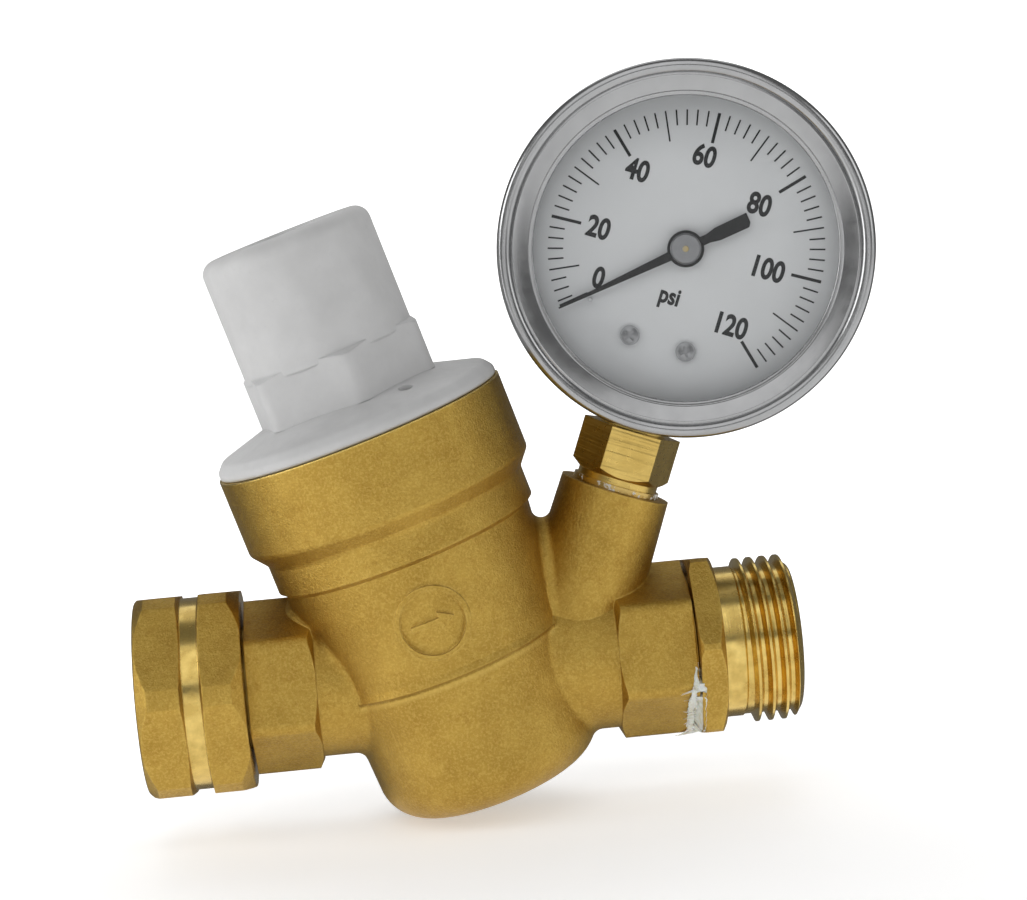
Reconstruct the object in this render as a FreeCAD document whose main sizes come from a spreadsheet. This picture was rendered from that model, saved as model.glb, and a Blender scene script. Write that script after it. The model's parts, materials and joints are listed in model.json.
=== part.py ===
import FreeCAD, Part
import math
import os
import re
import Sketcher
from FreeCAD import Placement, Rotation, Vector

# Adjustable pressure reducing valve for a 3/4 inch hose line, with a dial gauge on its own boss.
# Millimetres. The origin is the centre of the inlet nut's mouth, +X is the flow, +Z is up.
# Three axes lie in the XZ plane: the run along X, the bonnet axis, which leans back towards the
# inlet, and the gauge stem's axis, which leans towards the outlet. Heights on the bonnet are
# measured along its axis from the run, and so are heights on the stem.

SIZES = {
    # axes
    "cross_x": 51.0,
    "bonnet_tilt": 16.48,
    "boss_x": 17.8,
    "boss_tilt": 21.25,
    "gauge_turn": -9.0,
    "flat_turn": -10.5,
    "corner_turn": 20.5,
    # forged body
    "hex_across": 25.0,
    "hex_round": 2.2,
    "hex_shoulder": 1.3,
    "neck_r": 12.2,
    "neck_depth": 4.0,
    "inlet_hex_x": 17.5,
    "inlet_hex_len": 10.9,
    "outlet_hex_x": 76.8,
    "outlet_hex_len": 12.3,
    "bowl_r": 18.5,
    "bowl_depth": 20.5,
    "bowl_round": 6.8,
    "ridge_r": 19.8,
    "ridge_height": 2.6,
    "ridge_step": 0.35,
    "ridge_fade": 9.5,
    "ridge_fade_r": 19.98,
    "chamber_r": 21.1,
    "chamber_top": 21.9,
    "step_r": 22.0,
    "step_top": 27.4,
    "collar_r": 24.1,
    "collar_low": 30.0,
    "collar_top": 42.8,
    "boss_r": 8.95,
    "boss_foot_r": 9.7,
    "boss_top": 29.2,
    "mark_height": 12.2,
    "mark_r": 6.0,
    "mark_width": 0.8,
    "mark_proud": 0.35,
    "arrow_half_len": 3.5,
    "arrow_half_width": 1.5,
    "arrow_line": 0.9,
    "neck_blend": 1.9,
    "boss_blend": 1.6,
    # bores in the body
    "socket_r": 9.95,
    "socket_len": 12.5,
    "outlet_socket_r": 10.2,
    "port_r": 4.5,
    "low_chamber_r": 13.2,
    "low_chamber_floor": 15.5,
    "web_low": -1.0,
    "web_top": 5.0,
    "top_chamber_r": 17.0,
    "shelf_height": 29.0,
    "collar_bore_r": 21.2,
    "seat_hole_r": 7.6,
    "seal_pocket_r": 9.1,
    "seal_pocket_depth": 1.1,
    "nozzle_proud": 0.7,
    "gauge_hole_r": 6.65,
    "gauge_hole_low": 17.0,
    "gauge_port_r": 2.5,
    "gauge_feed_low": 7.0,
    # hose threads, 11.5 to the inch
    "hose_pitch": 2.209,
    "hose_major_r": 13.495,
    "hose_minor_r": 12.06,
    "hose_nut_minor_r": 12.3,
    "hose_nut_major_r": 13.65,
    "nut_thread_turns": 2.9,
    # inlet side
    "nut_len": 17.1,
    "nut_across": 31.8,
    "nut_round": 4.0,
    "nut_end_r": 15.6,
    "nut_corner_r": 17.5,
    "nut_crown": 1.9,
    "nut_groove_r": 15.55,
    "nut_groove_x": 7.1,
    "nut_groove_len": 3.6,
    "nut_lead_r": 13.8,
    "nut_lead_len": 1.6,
    "nut_wall_x": 11.2,
    "nut_back_r": 10.3,
    "tail_r": 9.9,
    "tail_bore_r": 7.0,
    "tail_flange_r": 11.9,
    "tail_flange_x": 8.9,
    "tail_flange_len": 2.0,
    "washer_r": 11.8,
    "washer_bore_r": 7.2,
    "washer_len": 2.4,
    "screen_hole_r": 0.55,
    "screen_spacing": 1.75,
    "screen_thick": 0.5,
    # outlet side
    "adapter_gap": 0.4,
    "adapter_across": 28.0,
    "adapter_hex_len": 4.2,
    "adapter_neck_r": 12.3,
    "adapter_neck_len": 3.3,
    "thread_len": 9.4,
    "thread_end_r": 11.9,
    "adapter_bore_r": 8.0,
    "adapter_shank_len": 9.5,
    "tape_r": 12.0,
    # bonnet
    "housing_rim_r": 23.8,
    "housing_edge_r": 22.6,
    "housing_rim_top": 44.1,
    "cone_low": 45.5,
    "cone_top": 47.7,
    "cone_top_r": 15.2,
    "grip_across": 27.8,
    "grip_top": 55.6,
    "grip_turn": -19.0,
    "tower_r": 14.25,
    "tower_top": 76.1,
    "tower_round": 2.5,
    "skirt_r": 21.1,
    "skirt_low": 30.8,
    "skirt_bore_r": 18.0,
    "spring_room_r": 11.7,
    "spring_room_top": 68.0,
    "screw_r": 5.0,
    "screw_hole_r": 5.08,
    "screw_top": 73.2,
    "screw_low": 62.05,
    "screw_pitch": 1.5,
    "screw_turns": 5.0,
    "button_r": 11.2,
    "button_low": 59.0,
    "vent_r": 1.1,
    "vent_place": 16.9,
    "vent_turn": -56.0,
    "spring_wire_r": 1.2,
    "spring_r": 8.9,
    "spring_turns": 6.5,
    "rim_inner_r": 16.8,
    "sheet_thick": 1.2,
    "plate_r": 11.8,
    # moving stem
    "stem_r": 2.5,
    "stem_top": 37.0,
    "disc_r": 7.0,
    "disc_thick": 2.6,
    "disc_top": -3.2,
    "seat_bore_r": 5.0,
    "valve_lift": 1.4,
    # gauge
    "gauge_height": 69.5,
    "case_r": 28.3,
    "case_wall": 0.8,
    "case_back": 14.0,
    "case_rim": 7.15,
    "bezel_r": 29.95,
    "bezel_front": 10.0,
    "bezel_skirt": 5.9,
    "bezel_crease_r": 26.9,
    "bezel_lip_r": 24.15,
    "dial_level": 2.2,
    "dial_thick": 0.5,
    "dial_r": 27.2,
    "window_level": 5.8,
    "window_thick": 1.4,
    "socket_across": 14.0,
    "socket_hex_low": 31.2,
    "socket_turn": 8.0,
    "dial_screw_x": 4.66,
    "dial_screw_y": 15.8,
    "dial_screw_r": 1.6,
    "stop_pin_place": 17.3,
    "stop_pin_turn": -135.6,
    "pointer_rest": -138.6,
    # gauge movement
    "gear_module": 0.25,
    "pinion_teeth": 12,
    "sector_teeth": 96,
    "sector_travel": 33.75,
    "gear_level": -1.5,
    "gear_thick": 0.8,
    "tail_pin_r": 5.6,
    "arbor_r": 0.5,
    "tube_r": 19.5,
    "tube_width": 5.0,
    "tube_thick": 1.6,
    "tube_start": -112.0,
    "tube_end": -40.0,
    "link_len": 11.15,
}

# places on the dial frame: the movement's screws and pillars, right-hand one of each pair
MOVEMENT_SCREW = (5.5, -12.2)
MOVEMENT_PILLAR = (8.0, -9.0)

doc = FreeCAD.newDocument("pressure_reducing_valve")
sheet = doc.addObject("Spreadsheet::Sheet", "Dims")
nodes = []


# ---------------------------------------------------------------- sheet and formulas

def fill_sheet():
    for row, (name, number) in enumerate(SIZES.items(), start=1):
        sheet.set(f"A{row}", name)
        sheet.set(f"B{row}", str(number))
        sheet.setAlias(f"B{row}", name)
    doc.recompute()


def size(name):
    return float(sheet.get(name))


def cells(formula):
    """The formula with each driving dimension written as its cell in the sheet."""
    return re.sub(r"[a-z]\w*", lambda word: "Dims." + word.group(), str(formula))


def amount(formula):
    """The value of a sum of dimensions and numbers, such as "tower_top - tower_round * 2"."""
    total = 0.0
    for sign, term in re.findall(r"([+-]?)\s*([a-z0-9_.* ]+)", str(formula)):
        product = 1.0
        for factor in term.split("*"):
            factor = factor.strip()
            product *= size(factor) if factor[0].isalpha() else float(factor)
        total += -product if sign == "-" else product
    return total


def bind(item, **formulas):
    for name, formula in formulas.items():
        item.setExpression(name, cells(formula))
    return item


# ---------------------------------------------------------------- frames

def turn_z(degrees):
    return Placement(Vector(), Rotation(Vector(0, 0, 1), degrees))


def lift(height, x=0.0, y=0.0):
    return Placement(Vector(x, y, height), Rotation())


def on_run(x, turn=0.0):
    """Local Z along the flow, with its zero at x."""
    return Placement(Vector(x, 0, 0), Rotation(Vector(0, 1, 0), 90)).multiply(turn_z(turn))


def on_bonnet(height=0.0, turn=0.0):
    lean = Placement(Vector(size("cross_x"), 0, 0), Rotation(Vector(0, 1, 0), -size("bonnet_tilt")))
    return lean.multiply(lift(height)).multiply(turn_z(turn))


def on_stem(height=0.0):
    foot = Vector(size("cross_x") + size("boss_x"), 0, 0)
    lean = Placement(foot, Rotation(Vector(0, 1, 0), size("boss_tilt")))
    return lean.multiply(turn_z(size("gauge_turn"))).multiply(lift(height))


def on_dial(level=0.0, x=0.0, y=0.0):
    """Local Z towards the reader, Y up the stem, with its zero at the pointer's axis."""
    face = Placement(Vector(), Rotation(Vector(1, 0, 0), 90))
    return on_stem(size("gauge_height")).multiply(face).multiply(lift(level, x, y))


# ---------------------------------------------------------------- features

def origin_plane(body, role):
    return next(item for item in body.Origin.OriginFeatures if item.Role == role)


def draw(sketch, outline):
    """A closed outline of straight lines. Each corner is tied to the sheet by its two distances."""
    corners = [(amount(across), amount(up)) for across, up in outline]
    count = len(corners)
    for index, (across, up) in enumerate(corners):
        after = corners[(index + 1) % count]
        sketch.addGeometry(Part.LineSegment(Vector(across, up, 0), Vector(after[0], after[1], 0)))
    for index in range(count):
        sketch.addConstraint(Sketcher.Constraint("Coincident", index, 2, (index + 1) % count, 1))
    for index, (across, up) in enumerate(outline):
        for kind, formula in (("DistanceX", across), ("DistanceY", up)):
            number = sketch.addConstraint(Sketcher.Constraint(kind, -1, 1, index, 1, amount(formula)))
            sketch.setExpression(f"Constraints[{number}]", cells(formula))


def circle_edges(shape, radius, height):
    """The names of the round edges about Z with this radius and height."""
    names = []
    for number, edge in enumerate(shape.Edges, start=1):
        curve = edge.Curve
        if not isinstance(curve, Part.Circle):
            continue
        near_z = math.hypot(curve.Center.x, curve.Center.y) < 0.01
        if near_z and abs(curve.Radius - radius) < 0.01 and abs(curve.Center.z - height) < 0.01:
            names.append(f"Edge{number}")
    return names


def soften(body, kind, corners, reach):
    """A PartDesign fillet or chamfer on the round edges at these (radius, height) corners."""
    doc.recompute()
    base = body.Tip
    names = []
    for across, up in corners:
        found = circle_edges(base.Shape, amount(across), amount(up))
        if not found:
            raise RuntimeError(f"{body.Label} has no edge at {across}, {up}")
        names += found
    feature = body.newObject("PartDesign::" + kind, body.Label + "_" + kind.lower())
    feature.Base = (base, names)
    bind(feature, **{"Radius" if kind == "Fillet" else "Size": reach})
    return feature


def turned(label, outline, place, fillets=(), chamfers=()):
    """A body turned about its own Z axis from an outline of (radius, height) corners."""
    body = doc.addObject("PartDesign::Body", label)
    body.Label = label
    sketch = body.newObject("Sketcher::SketchObject", label + "_outline")
    sketch.AttachmentSupport = [(origin_plane(body, "XZ_Plane"), "")]
    sketch.MapMode = "FlatFace"
    draw(sketch, outline)
    feature = body.newObject("PartDesign::Revolution", label + "_turned")
    feature.Profile = sketch
    feature.ReferenceAxis = (sketch, ["V_Axis"])
    feature.Angle = 360
    for reach, corners in fillets:
        soften(body, "Fillet", corners, reach)
    for reach, corners in chamfers:
        soften(body, "Chamfer", corners, reach)
    body.Placement = place
    return body


def tube_outline(inner, outer, low, high):
    return [(inner, low), (outer, low), (outer, high), (inner, high)]


def rod_outline(radius, low, high):
    return tube_outline("0", radius, low, high)


def cylinder(label, radius, length, place):
    item = bind(doc.addObject("Part::Cylinder", label), Radius=radius, Height=length)
    item.Placement = place
    return item


def box(label, length, width, height, place):
    """A box centred on its place in X and Y, standing on it in Z."""
    item = bind(doc.addObject("Part::Box", label), Length=length, Width=width, Height=height)
    item.Placement = place.multiply(lift(0, -amount(length) / 2, -amount(width) / 2))
    return item


def hexagon(label, across, length, place, corner_round=None):
    """A hexagonal bar along its own Z, a corner on its X axis."""
    bar = doc.addObject("Part::Prism", label + "_bar")
    bar.Polygon = 6
    bar.setExpression("Circumradius", f"({cells(across)}) / sqrt(3)")
    bind(bar, Height=length)
    bar.Placement = place
    if corner_round is None:
        return bar
    doc.recompute()
    along = place.Rotation.multVec(Vector(0, 0, 1))
    rounded = doc.addObject("Part::Fillet", label)
    rounded.Base = bar
    reach = amount(corner_round)
    edges = [
        (number, reach, reach)
        for number, edge in enumerate(bar.Shape.Edges, start=1)
        if abs(edge.tangentAt(edge.FirstParameter).dot(along)) > 0.99
    ]
    rounded.Edges = edges
    return rounded


def joined(label, *pieces):
    item = doc.addObject("Part::MultiFuse", label)
    item.Shapes = list(pieces)
    return item


def shared(label, *pieces):
    item = doc.addObject("Part::MultiCommon", label)
    item.Shapes = list(pieces)
    return item


def cut(label, base, *tools):
    item = doc.addObject("Part::Cut", label)
    item.Base = base
    item.Tool = tools[0] if len(tools) == 1 else joined(label + "_tools", *tools)
    return item


def shaped(label, shape, place):
    """A feature whose shape is worked out from the sheet by a function of this file."""
    item = doc.addObject("Part::Feature", label)
    item.Shape = shape
    item.Placement = place.multiply(shape.Placement)
    return item


def hollow_corner(shape, edge):
    """Whether the two faces at this edge meet in a hollow corner, as a neck meets a chamber."""
    probe = 0.05
    middle = edge.valueAt((edge.FirstParameter + edge.LastParameter) / 2)
    sides = shape.ancestorsOfType(edge, Part.Face)
    if len(sides) != 2:
        return False
    first, second = [side.normalAt(*side.Surface.parameter(middle)) for side in sides]
    if not math.radians(10) < first.getAngle(second) < math.radians(170):
        return False
    across = edge.tangentAt((edge.FirstParameter + edge.LastParameter) / 2).cross(first)
    if not sides[0].isInside(middle + across * probe, probe / 2, True):
        across = -across
    return across.dot(second) > 0


def round_step(edge):
    """Whether an edge is one of the bonnet's own round steps, which stay crisp."""
    return isinstance(edge.Curve, Part.Circle)


def blended(label, item, reach):
    """The shape with every hollow corner where its pieces meet filled to a radius."""
    doc.recompute()
    shape = item.Shape.removeSplitter()
    corners = [edge for edge in shape.Edges if hollow_corner(shape, edge) and not round_step(edge)]
    rounded = doc.addObject("Part::Feature", label)
    rounded.Shape = shape.makeFillet(size(reach), corners)
    return rounded


def node(item, name):
    item.Label = name
    nodes.append(item)
    return item


def slab(points, thickness):
    """A flat plate on the XY plane with straight sides through these points."""
    corners = [Vector(x, y, 0) for x, y in points]
    return Part.Face(Part.makePolygon(corners + corners[:1])).extrude(Vector(0, 0, thickness))


def polar(radius, degrees):
    angle = math.radians(degrees)
    return radius * math.cos(angle), radius * math.sin(angle)


# ---------------------------------------------------------------- threads and springs

def thread_ridge(root_r, crest_r, length, flank):
    """A helical ridge about Z on a root radius; crest_r is inside root_r on a nut's thread."""
    pitch = size("hose_pitch")
    inward = 1.0 if crest_r > root_r else -1.0
    buried = root_r - 0.3 * inward
    crest = 0.2
    turns = Part.makeHelix(pitch, length, root_r)
    corners = [(buried, -flank), (crest_r, -crest), (crest_r, crest), (buried, flank)]
    points = [Vector(x, 0, z) for x, z in corners]
    section = Part.makePolygon(points + points[:1])
    return Part.Wire(turns.Edges).makePipeShell([section], True, True)


def coil(mean_r, wire_r, turns, length):
    """A compression spring standing on z = 0, its ends trimmed flat."""
    rise = length - 2 * wire_r
    spine = Part.makeHelix(rise / turns, rise, mean_r)
    section = Part.Wire(Part.Edge(Part.Circle(Vector(mean_r, 0, 0), Vector(0, 1, 0), wire_r)))
    wire = Part.Wire(spine.Edges).makePipeShell([section], True, True)
    wire.translate(Vector(0, 0, wire_r))
    return wire


# ---------------------------------------------------------------- forged body

def body_hexagon(side, neck_end, face_end):
    """A hexagon of the body, with its corners sloping down to the neck at its neck end."""
    place = on_run(size(side + "_hex_x"), size("flat_turn"))
    bar = hexagon(side + "_bar", "hex_across", side + "_hex_len", place, "hex_round")
    slope = "+ hex_shoulder" if neck_end == "0" else "- hex_shoulder"
    form = turned(
        side + "_shoulder",
        [
            ("0", neck_end),
            ("neck_r + 0.4", neck_end),
            ("hex_across * 0.6", f"{neck_end} {slope}"),
            ("hex_across * 0.6", face_end),
            ("0", face_end),
        ],
        place,
    )
    return shared(side + "_hexagon", bar, form)


def body_outside():
    bonnet = turned(
        "bonnet_form",
        [
            ("0", "-bowl_depth"),
            ("bowl_r", "-bowl_depth"),
            ("ridge_r - ridge_step", "ridge_height"),
            ("chamber_r", "chamber_top"),
            ("step_r", "chamber_top + 0.7"),
            ("step_r", "step_top"),
            ("collar_r", "collar_low"),
            ("collar_r", "collar_top"),
            ("0", "collar_top"),
        ],
        on_bonnet(),
        fillets=[
            ("bowl_round", [("bowl_r", "-bowl_depth")]),
            ("1.2", [("collar_r", "collar_low"), ("step_r", "step_top")]),
        ],
    )
    ridge = turned(
        "chamber_ridge",
        [
            ("0", "ridge_height"),
            ("ridge_r", "ridge_height"),
            ("ridge_fade_r", "ridge_fade"),
            ("0", "ridge_fade"),
        ],
        on_bonnet(),
    )
    inlet_end = body_hexagon("inlet", neck_end="inlet_hex_len", face_end="0")
    outlet_end = body_hexagon("outlet", neck_end="0", face_end="outlet_hex_len")
    neck_low = size("inlet_hex_x") + size("neck_depth")
    neck = cylinder("run_neck", "neck_r", "outlet_hex_x - inlet_hex_x - neck_depth * 0.5", on_run(neck_low))
    boss = doc.addObject("Part::Cone", "gauge_boss")
    bind(boss, Radius1="boss_foot_r", Radius2="boss_r", Height="boss_top")
    boss.Placement = on_stem()
    neck_joint = blended("neck_joint", joined("bonnet_on_neck", bonnet, neck), "neck_blend")
    boss_joint = blended("boss_joint", joined("bonnet_on_boss", bonnet, boss), "boss_blend")
    return joined("body_outside", neck_joint, boss_joint, ridge, inlet_end, outlet_end)


def body_mark():
    """A raised plain ring with a flow arrow on the front of the chamber."""
    proud = size("mark_proud")
    skin = Part.makeCone(
        size("ridge_r") + proud, size("chamber_r") + proud, size("chamber_top") - size("ridge_height"),
        Vector(0, 0, size("ridge_height")),
    )
    outer = size("mark_r")
    face = Placement(Vector(0, 0, size("mark_height")), Rotation(Vector(1, 0, 0), 90))
    depth = size("chamber_r") + 2
    ring = Part.makeCylinder(outer, depth).cut(Part.makeCylinder(outer - size("mark_width"), depth))
    tip, barb, half = size("arrow_half_len"), size("arrow_half_width"), size("arrow_line") / 2
    head = tip - 2.4
    arrow = slab(
        [(-tip, -half), (head, -half), (head, -barb), (tip, 0), (head, barb), (head, half), (-tip, half)],
        depth,
    )
    raised = ring.fuse(arrow)
    raised.Placement = face
    return shaped("flow_mark", raised.common(skin), on_bonnet())


def port(label, start, end):
    """A slanting waterway between two points given from the crossing of the axes."""
    way = end - start
    hole = bind(doc.addObject("Part::Cylinder", label), Radius="port_r")
    hole.Height = way.Length
    hole.Placement = Placement(start + Vector(size("cross_x"), 0, 0), Rotation(Vector(0, 0, 1), way))
    return hole


def body_hollow():
    """Everything that is bored or cored out of the body."""
    rounded_floor = [("low_chamber_r", "-low_chamber_floor")]
    low = turned(
        "low_chamber", rod_outline("low_chamber_r", "-low_chamber_floor", "web_low"),
        on_bonnet(), fillets=[("bowl_round - 2.5", rounded_floor)],
    )
    stack = turned(
        "top_chamber",
        [
            ("0", "web_low - 1"),
            ("seat_hole_r", "web_low - 1"),
            ("seat_hole_r", "web_top - seal_pocket_depth"),
            ("seal_pocket_r", "web_top - seal_pocket_depth"),
            ("seal_pocket_r", "web_top"),
            ("top_chamber_r", "web_top"),
            ("top_chamber_r", "shelf_height"),
            ("collar_bore_r", "shelf_height"),
            ("collar_bore_r", "collar_top + 1"),
            ("0", "collar_top + 1"),
        ],
        on_bonnet(),
    )
    inlet = cylinder("inlet_socket", "socket_r", "socket_len + 1", on_run(size("inlet_hex_x") - 1))
    outlet_end = size("outlet_hex_x") + size("outlet_hex_len")
    outlet_start = outlet_end - size("adapter_shank_len") - 6
    outlet = cylinder("outlet_socket", "outlet_socket_r", "adapter_shank_len + 7", on_run(outlet_start))
    inlet_port = port("inlet_port", Vector(-22.5, 0, -4.5), Vector(-5.0, 0, -10.8))
    outlet_port = port("outlet_port", Vector(25.0, 0, 4.0), Vector(12.0, 0, 15.0))
    tapping = cylinder("gauge_tapping", "gauge_hole_r", "boss_top + 1 - gauge_hole_low",
                       on_stem(size("gauge_hole_low")))
    feed = cylinder("gauge_feed", "gauge_port_r", "gauge_hole_low - gauge_feed_low + 1",
                    on_stem(size("gauge_feed_low")))
    return low, stack, inlet, outlet, tapping, feed, inlet_port, outlet_port


def valve_body():
    outside = body_outside()
    whole = joined("body_solid", outside, body_mark())
    node(cut("valve_body", whole, *body_hollow()), "valve_body")


# ---------------------------------------------------------------- inlet side

def inlet_nut():
    place = on_run(0, size("corner_turn"))
    bar = hexagon("nut_blank", "nut_across", "nut_len", place, "nut_round")
    form = turned(
        "nut_form",
        [
            ("0", "0"),
            ("nut_end_r", "0"),
            ("nut_corner_r", "nut_crown"),
            ("nut_corner_r", "nut_groove_x"),
            ("nut_groove_r", "nut_groove_x + 0.4"),
            ("nut_groove_r", "nut_groove_x + nut_groove_len - 0.4"),
            ("nut_corner_r", "nut_groove_x + nut_groove_len"),
            ("nut_corner_r", "nut_len - nut_crown"),
            ("nut_end_r + 0.4", "nut_len"),
            ("0", "nut_len"),
        ],
        place,
    )
    outside = shared("nut_outside", bar, form)
    hollow = turned(
        "nut_hollow",
        [
            ("0", "-1"),
            ("nut_lead_r", "-1"),
            ("nut_lead_r", "nut_lead_len"),
            ("hose_nut_minor_r", "nut_lead_len + 1.2"),
            ("hose_nut_minor_r", "nut_wall_x"),
            ("nut_back_r", "nut_wall_x"),
            ("nut_back_r", "nut_len + 1"),
            ("0", "nut_len + 1"),
        ],
        place,
    )
    groove_len = size("hose_pitch") * size("nut_thread_turns")
    ridge = thread_ridge(size("hose_nut_minor_r"), size("hose_nut_major_r"), groove_len, 0.95)
    ridge.translate(Vector(0, 0, size("nut_lead_len") + 0.3))
    groove = shaped("nut_thread", ridge, place)
    node(cut("inlet_swivel_nut", outside, joined("nut_inside", hollow, groove)), "inlet_swivel_nut")


def inlet_tail():
    """The flanged tube that the swivel nut turns on. Its far end is screwed into the body."""
    shank_end = "inlet_hex_x + socket_len - 0.8"
    body = turned(
        "inlet_tailpiece",
        [
            ("tail_bore_r", "tail_flange_x"),
            ("tail_flange_r", "tail_flange_x"),
            ("tail_flange_r", "tail_flange_x + tail_flange_len"),
            ("tail_r", "tail_flange_x + tail_flange_len"),
            ("tail_r", shank_end),
            ("tail_bore_r", shank_end),
        ],
        on_run(0),
        chamfers=[("0.4", [("tail_r", shank_end), ("tail_flange_r", "tail_flange_x")])],
    )
    node(body, "inlet_tailpiece")


def inlet_washer():
    low = size("tail_flange_x") - size("washer_len") - 0.02
    body = turned(
        "inlet_washer",
        [
            ("washer_bore_r", "0"),
            ("washer_r", "0"),
            ("washer_r", "washer_len"),
            ("washer_bore_r + 0.8", "washer_len"),
            ("washer_bore_r + 0.8", "washer_len - 0.6"),
            ("washer_bore_r", "washer_len - 0.6"),
        ],
        on_run(low),
        fillets=[("0.3", [("washer_r", "0"), ("washer_bore_r", "0")])],
    )
    node(body, "inlet_washer")


def inlet_screen():
    """A punched disc strainer held in the washer's rebate, its holes in a triangular pattern."""
    rim = size("washer_bore_r") + 0.75
    hole, spacing, rows = size("screen_hole_r"), size("screen_spacing"), 4
    holes = []
    for row in range(-rows, rows + 1):
        for column in range(-rows, rows + 1):
            x = spacing * (column + 0.5 * (row % 2))
            y = spacing * row * math.sin(math.radians(60))
            if math.hypot(x, y) + hole < size("tail_bore_r") - 0.3:
                holes.append(Part.makeCylinder(hole, 3, Vector(x, y, -1)))
    disc = Part.makeCylinder(rim, size("screen_thick"))
    place = on_run(size("tail_flange_x") - size("screen_thick") - 0.1)
    node(shaped("inlet_screen", disc.cut(Part.makeCompound(holes)), place), "inlet_screen")


# ---------------------------------------------------------------- outlet side

def outlet_adapter():
    body_end = size("outlet_hex_x") + size("outlet_hex_len")
    start = body_end + size("adapter_gap")
    place = on_run(start, size("corner_turn"))
    bar = hexagon("adapter_bar", "adapter_across", "adapter_hex_len", place, "0.5")
    crown = turned(
        "adapter_crown",
        [
            ("0", "0"),
            ("adapter_across * 0.5 + 1.2", "0"),
            ("adapter_across * 0.5 + 1.9", "0.5"),
            ("adapter_across * 0.5 + 1.9", "adapter_hex_len - 1.0"),
            ("adapter_across * 0.5", "adapter_hex_len"),
            ("0", "adapter_hex_len"),
        ],
        place,
    )
    grip = shared("adapter_grip", bar, crown)
    neck_end = "adapter_hex_len + adapter_neck_len"
    core = turned(
        "adapter_core",
        [
            ("0", "-adapter_shank_len - adapter_gap"),
            ("outlet_socket_r - 0.55", "-adapter_shank_len - adapter_gap"),
            ("outlet_socket_r - 0.05", "-adapter_shank_len - adapter_gap + 0.5"),
            ("outlet_socket_r - 0.05", "0.5"),
            ("adapter_neck_r", "0.5"),
            ("adapter_neck_r", neck_end),
            ("hose_minor_r", neck_end + " + 0.3"),
            ("hose_minor_r", neck_end + " + thread_len - 0.3"),
            ("thread_end_r - 0.2", neck_end + " + thread_len"),
            ("0", neck_end + " + thread_len"),
        ],
        place,
    )
    envelope = turned(
        "thread_envelope",
        [
            ("0", neck_end + " - 0.2"),
            ("adapter_neck_r", neck_end + " - 0.2"),
            ("hose_major_r + 0.4", neck_end + " + 1.2"),
            ("hose_major_r + 0.4", neck_end + " + thread_len - 1.4"),
            ("thread_end_r", neck_end + " + thread_len - 0.05"),
            ("0", neck_end + " + thread_len - 0.05"),
        ],
        place,
    )
    ridge = thread_ridge(size("hose_minor_r"), size("hose_major_r"), size("thread_len") - 0.6, 0.9)
    ridge.translate(Vector(0, 0, amount(neck_end) + 0.3))
    thread = shared("adapter_thread", shaped("adapter_ridge", ridge, place), envelope)
    bore = turned(
        "adapter_bore",
        [
            ("0", "-adapter_shank_len - adapter_gap - 1"),
            ("adapter_bore_r", "-adapter_shank_len - adapter_gap - 1"),
            ("adapter_bore_r", neck_end + " + thread_len - 0.6"),
            ("adapter_bore_r + 1.6", neck_end + " + thread_len + 1"),
            ("0", neck_end + " + thread_len + 1"),
        ],
        place,
    )
    node(cut("outlet_adapter", joined("adapter_outside", core, grip, thread), bore), "outlet_adapter")
    tape = turned(
        "outlet_thread_tape",
        tube_outline("outlet_socket_r", "tape_r", "0.04", "adapter_gap - 0.04"),
        on_run(body_end),
        fillets=[("0.1", [("tape_r", "0.04"), ("tape_r", "adapter_gap - 0.04")])],
    )
    node(tape, "outlet_thread_tape")


# ---------------------------------------------------------------- valve seat and moving stem

def seat_parts():
    low = "web_low - nozzle_proud"
    ring = turned(
        "seat_ring_form",
        [
            ("seat_bore_r", low),
            ("seat_bore_r + 0.7", low),
            ("seat_hole_r - 0.05", "web_low + 0.4"),
            ("seat_hole_r - 0.05", "web_top + 0.04"),
            ("seal_pocket_r + 0.6", "web_top + 0.04"),
            ("seal_pocket_r + 0.6", "web_top + 1.6"),
            ("seat_bore_r", "web_top + 1.6"),
        ],
        on_bonnet(),
    )
    slot = box("seat_ring_slot", "seal_pocket_r * 2 + 4", "2", "1.6",
               on_bonnet(size("web_top") + 0.8))
    node(cut("seat_ring", ring, slot), "seat_ring")
    seal = doc.addObject("Part::Torus", "seat_seal")
    bind(seal, Radius1="seat_hole_r * 0.5 + seal_pocket_r * 0.5", Radius2="0.52")
    seal.Placement = on_bonnet(size("web_top") - 0.53)
    node(seal, "seat_seal")


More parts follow.
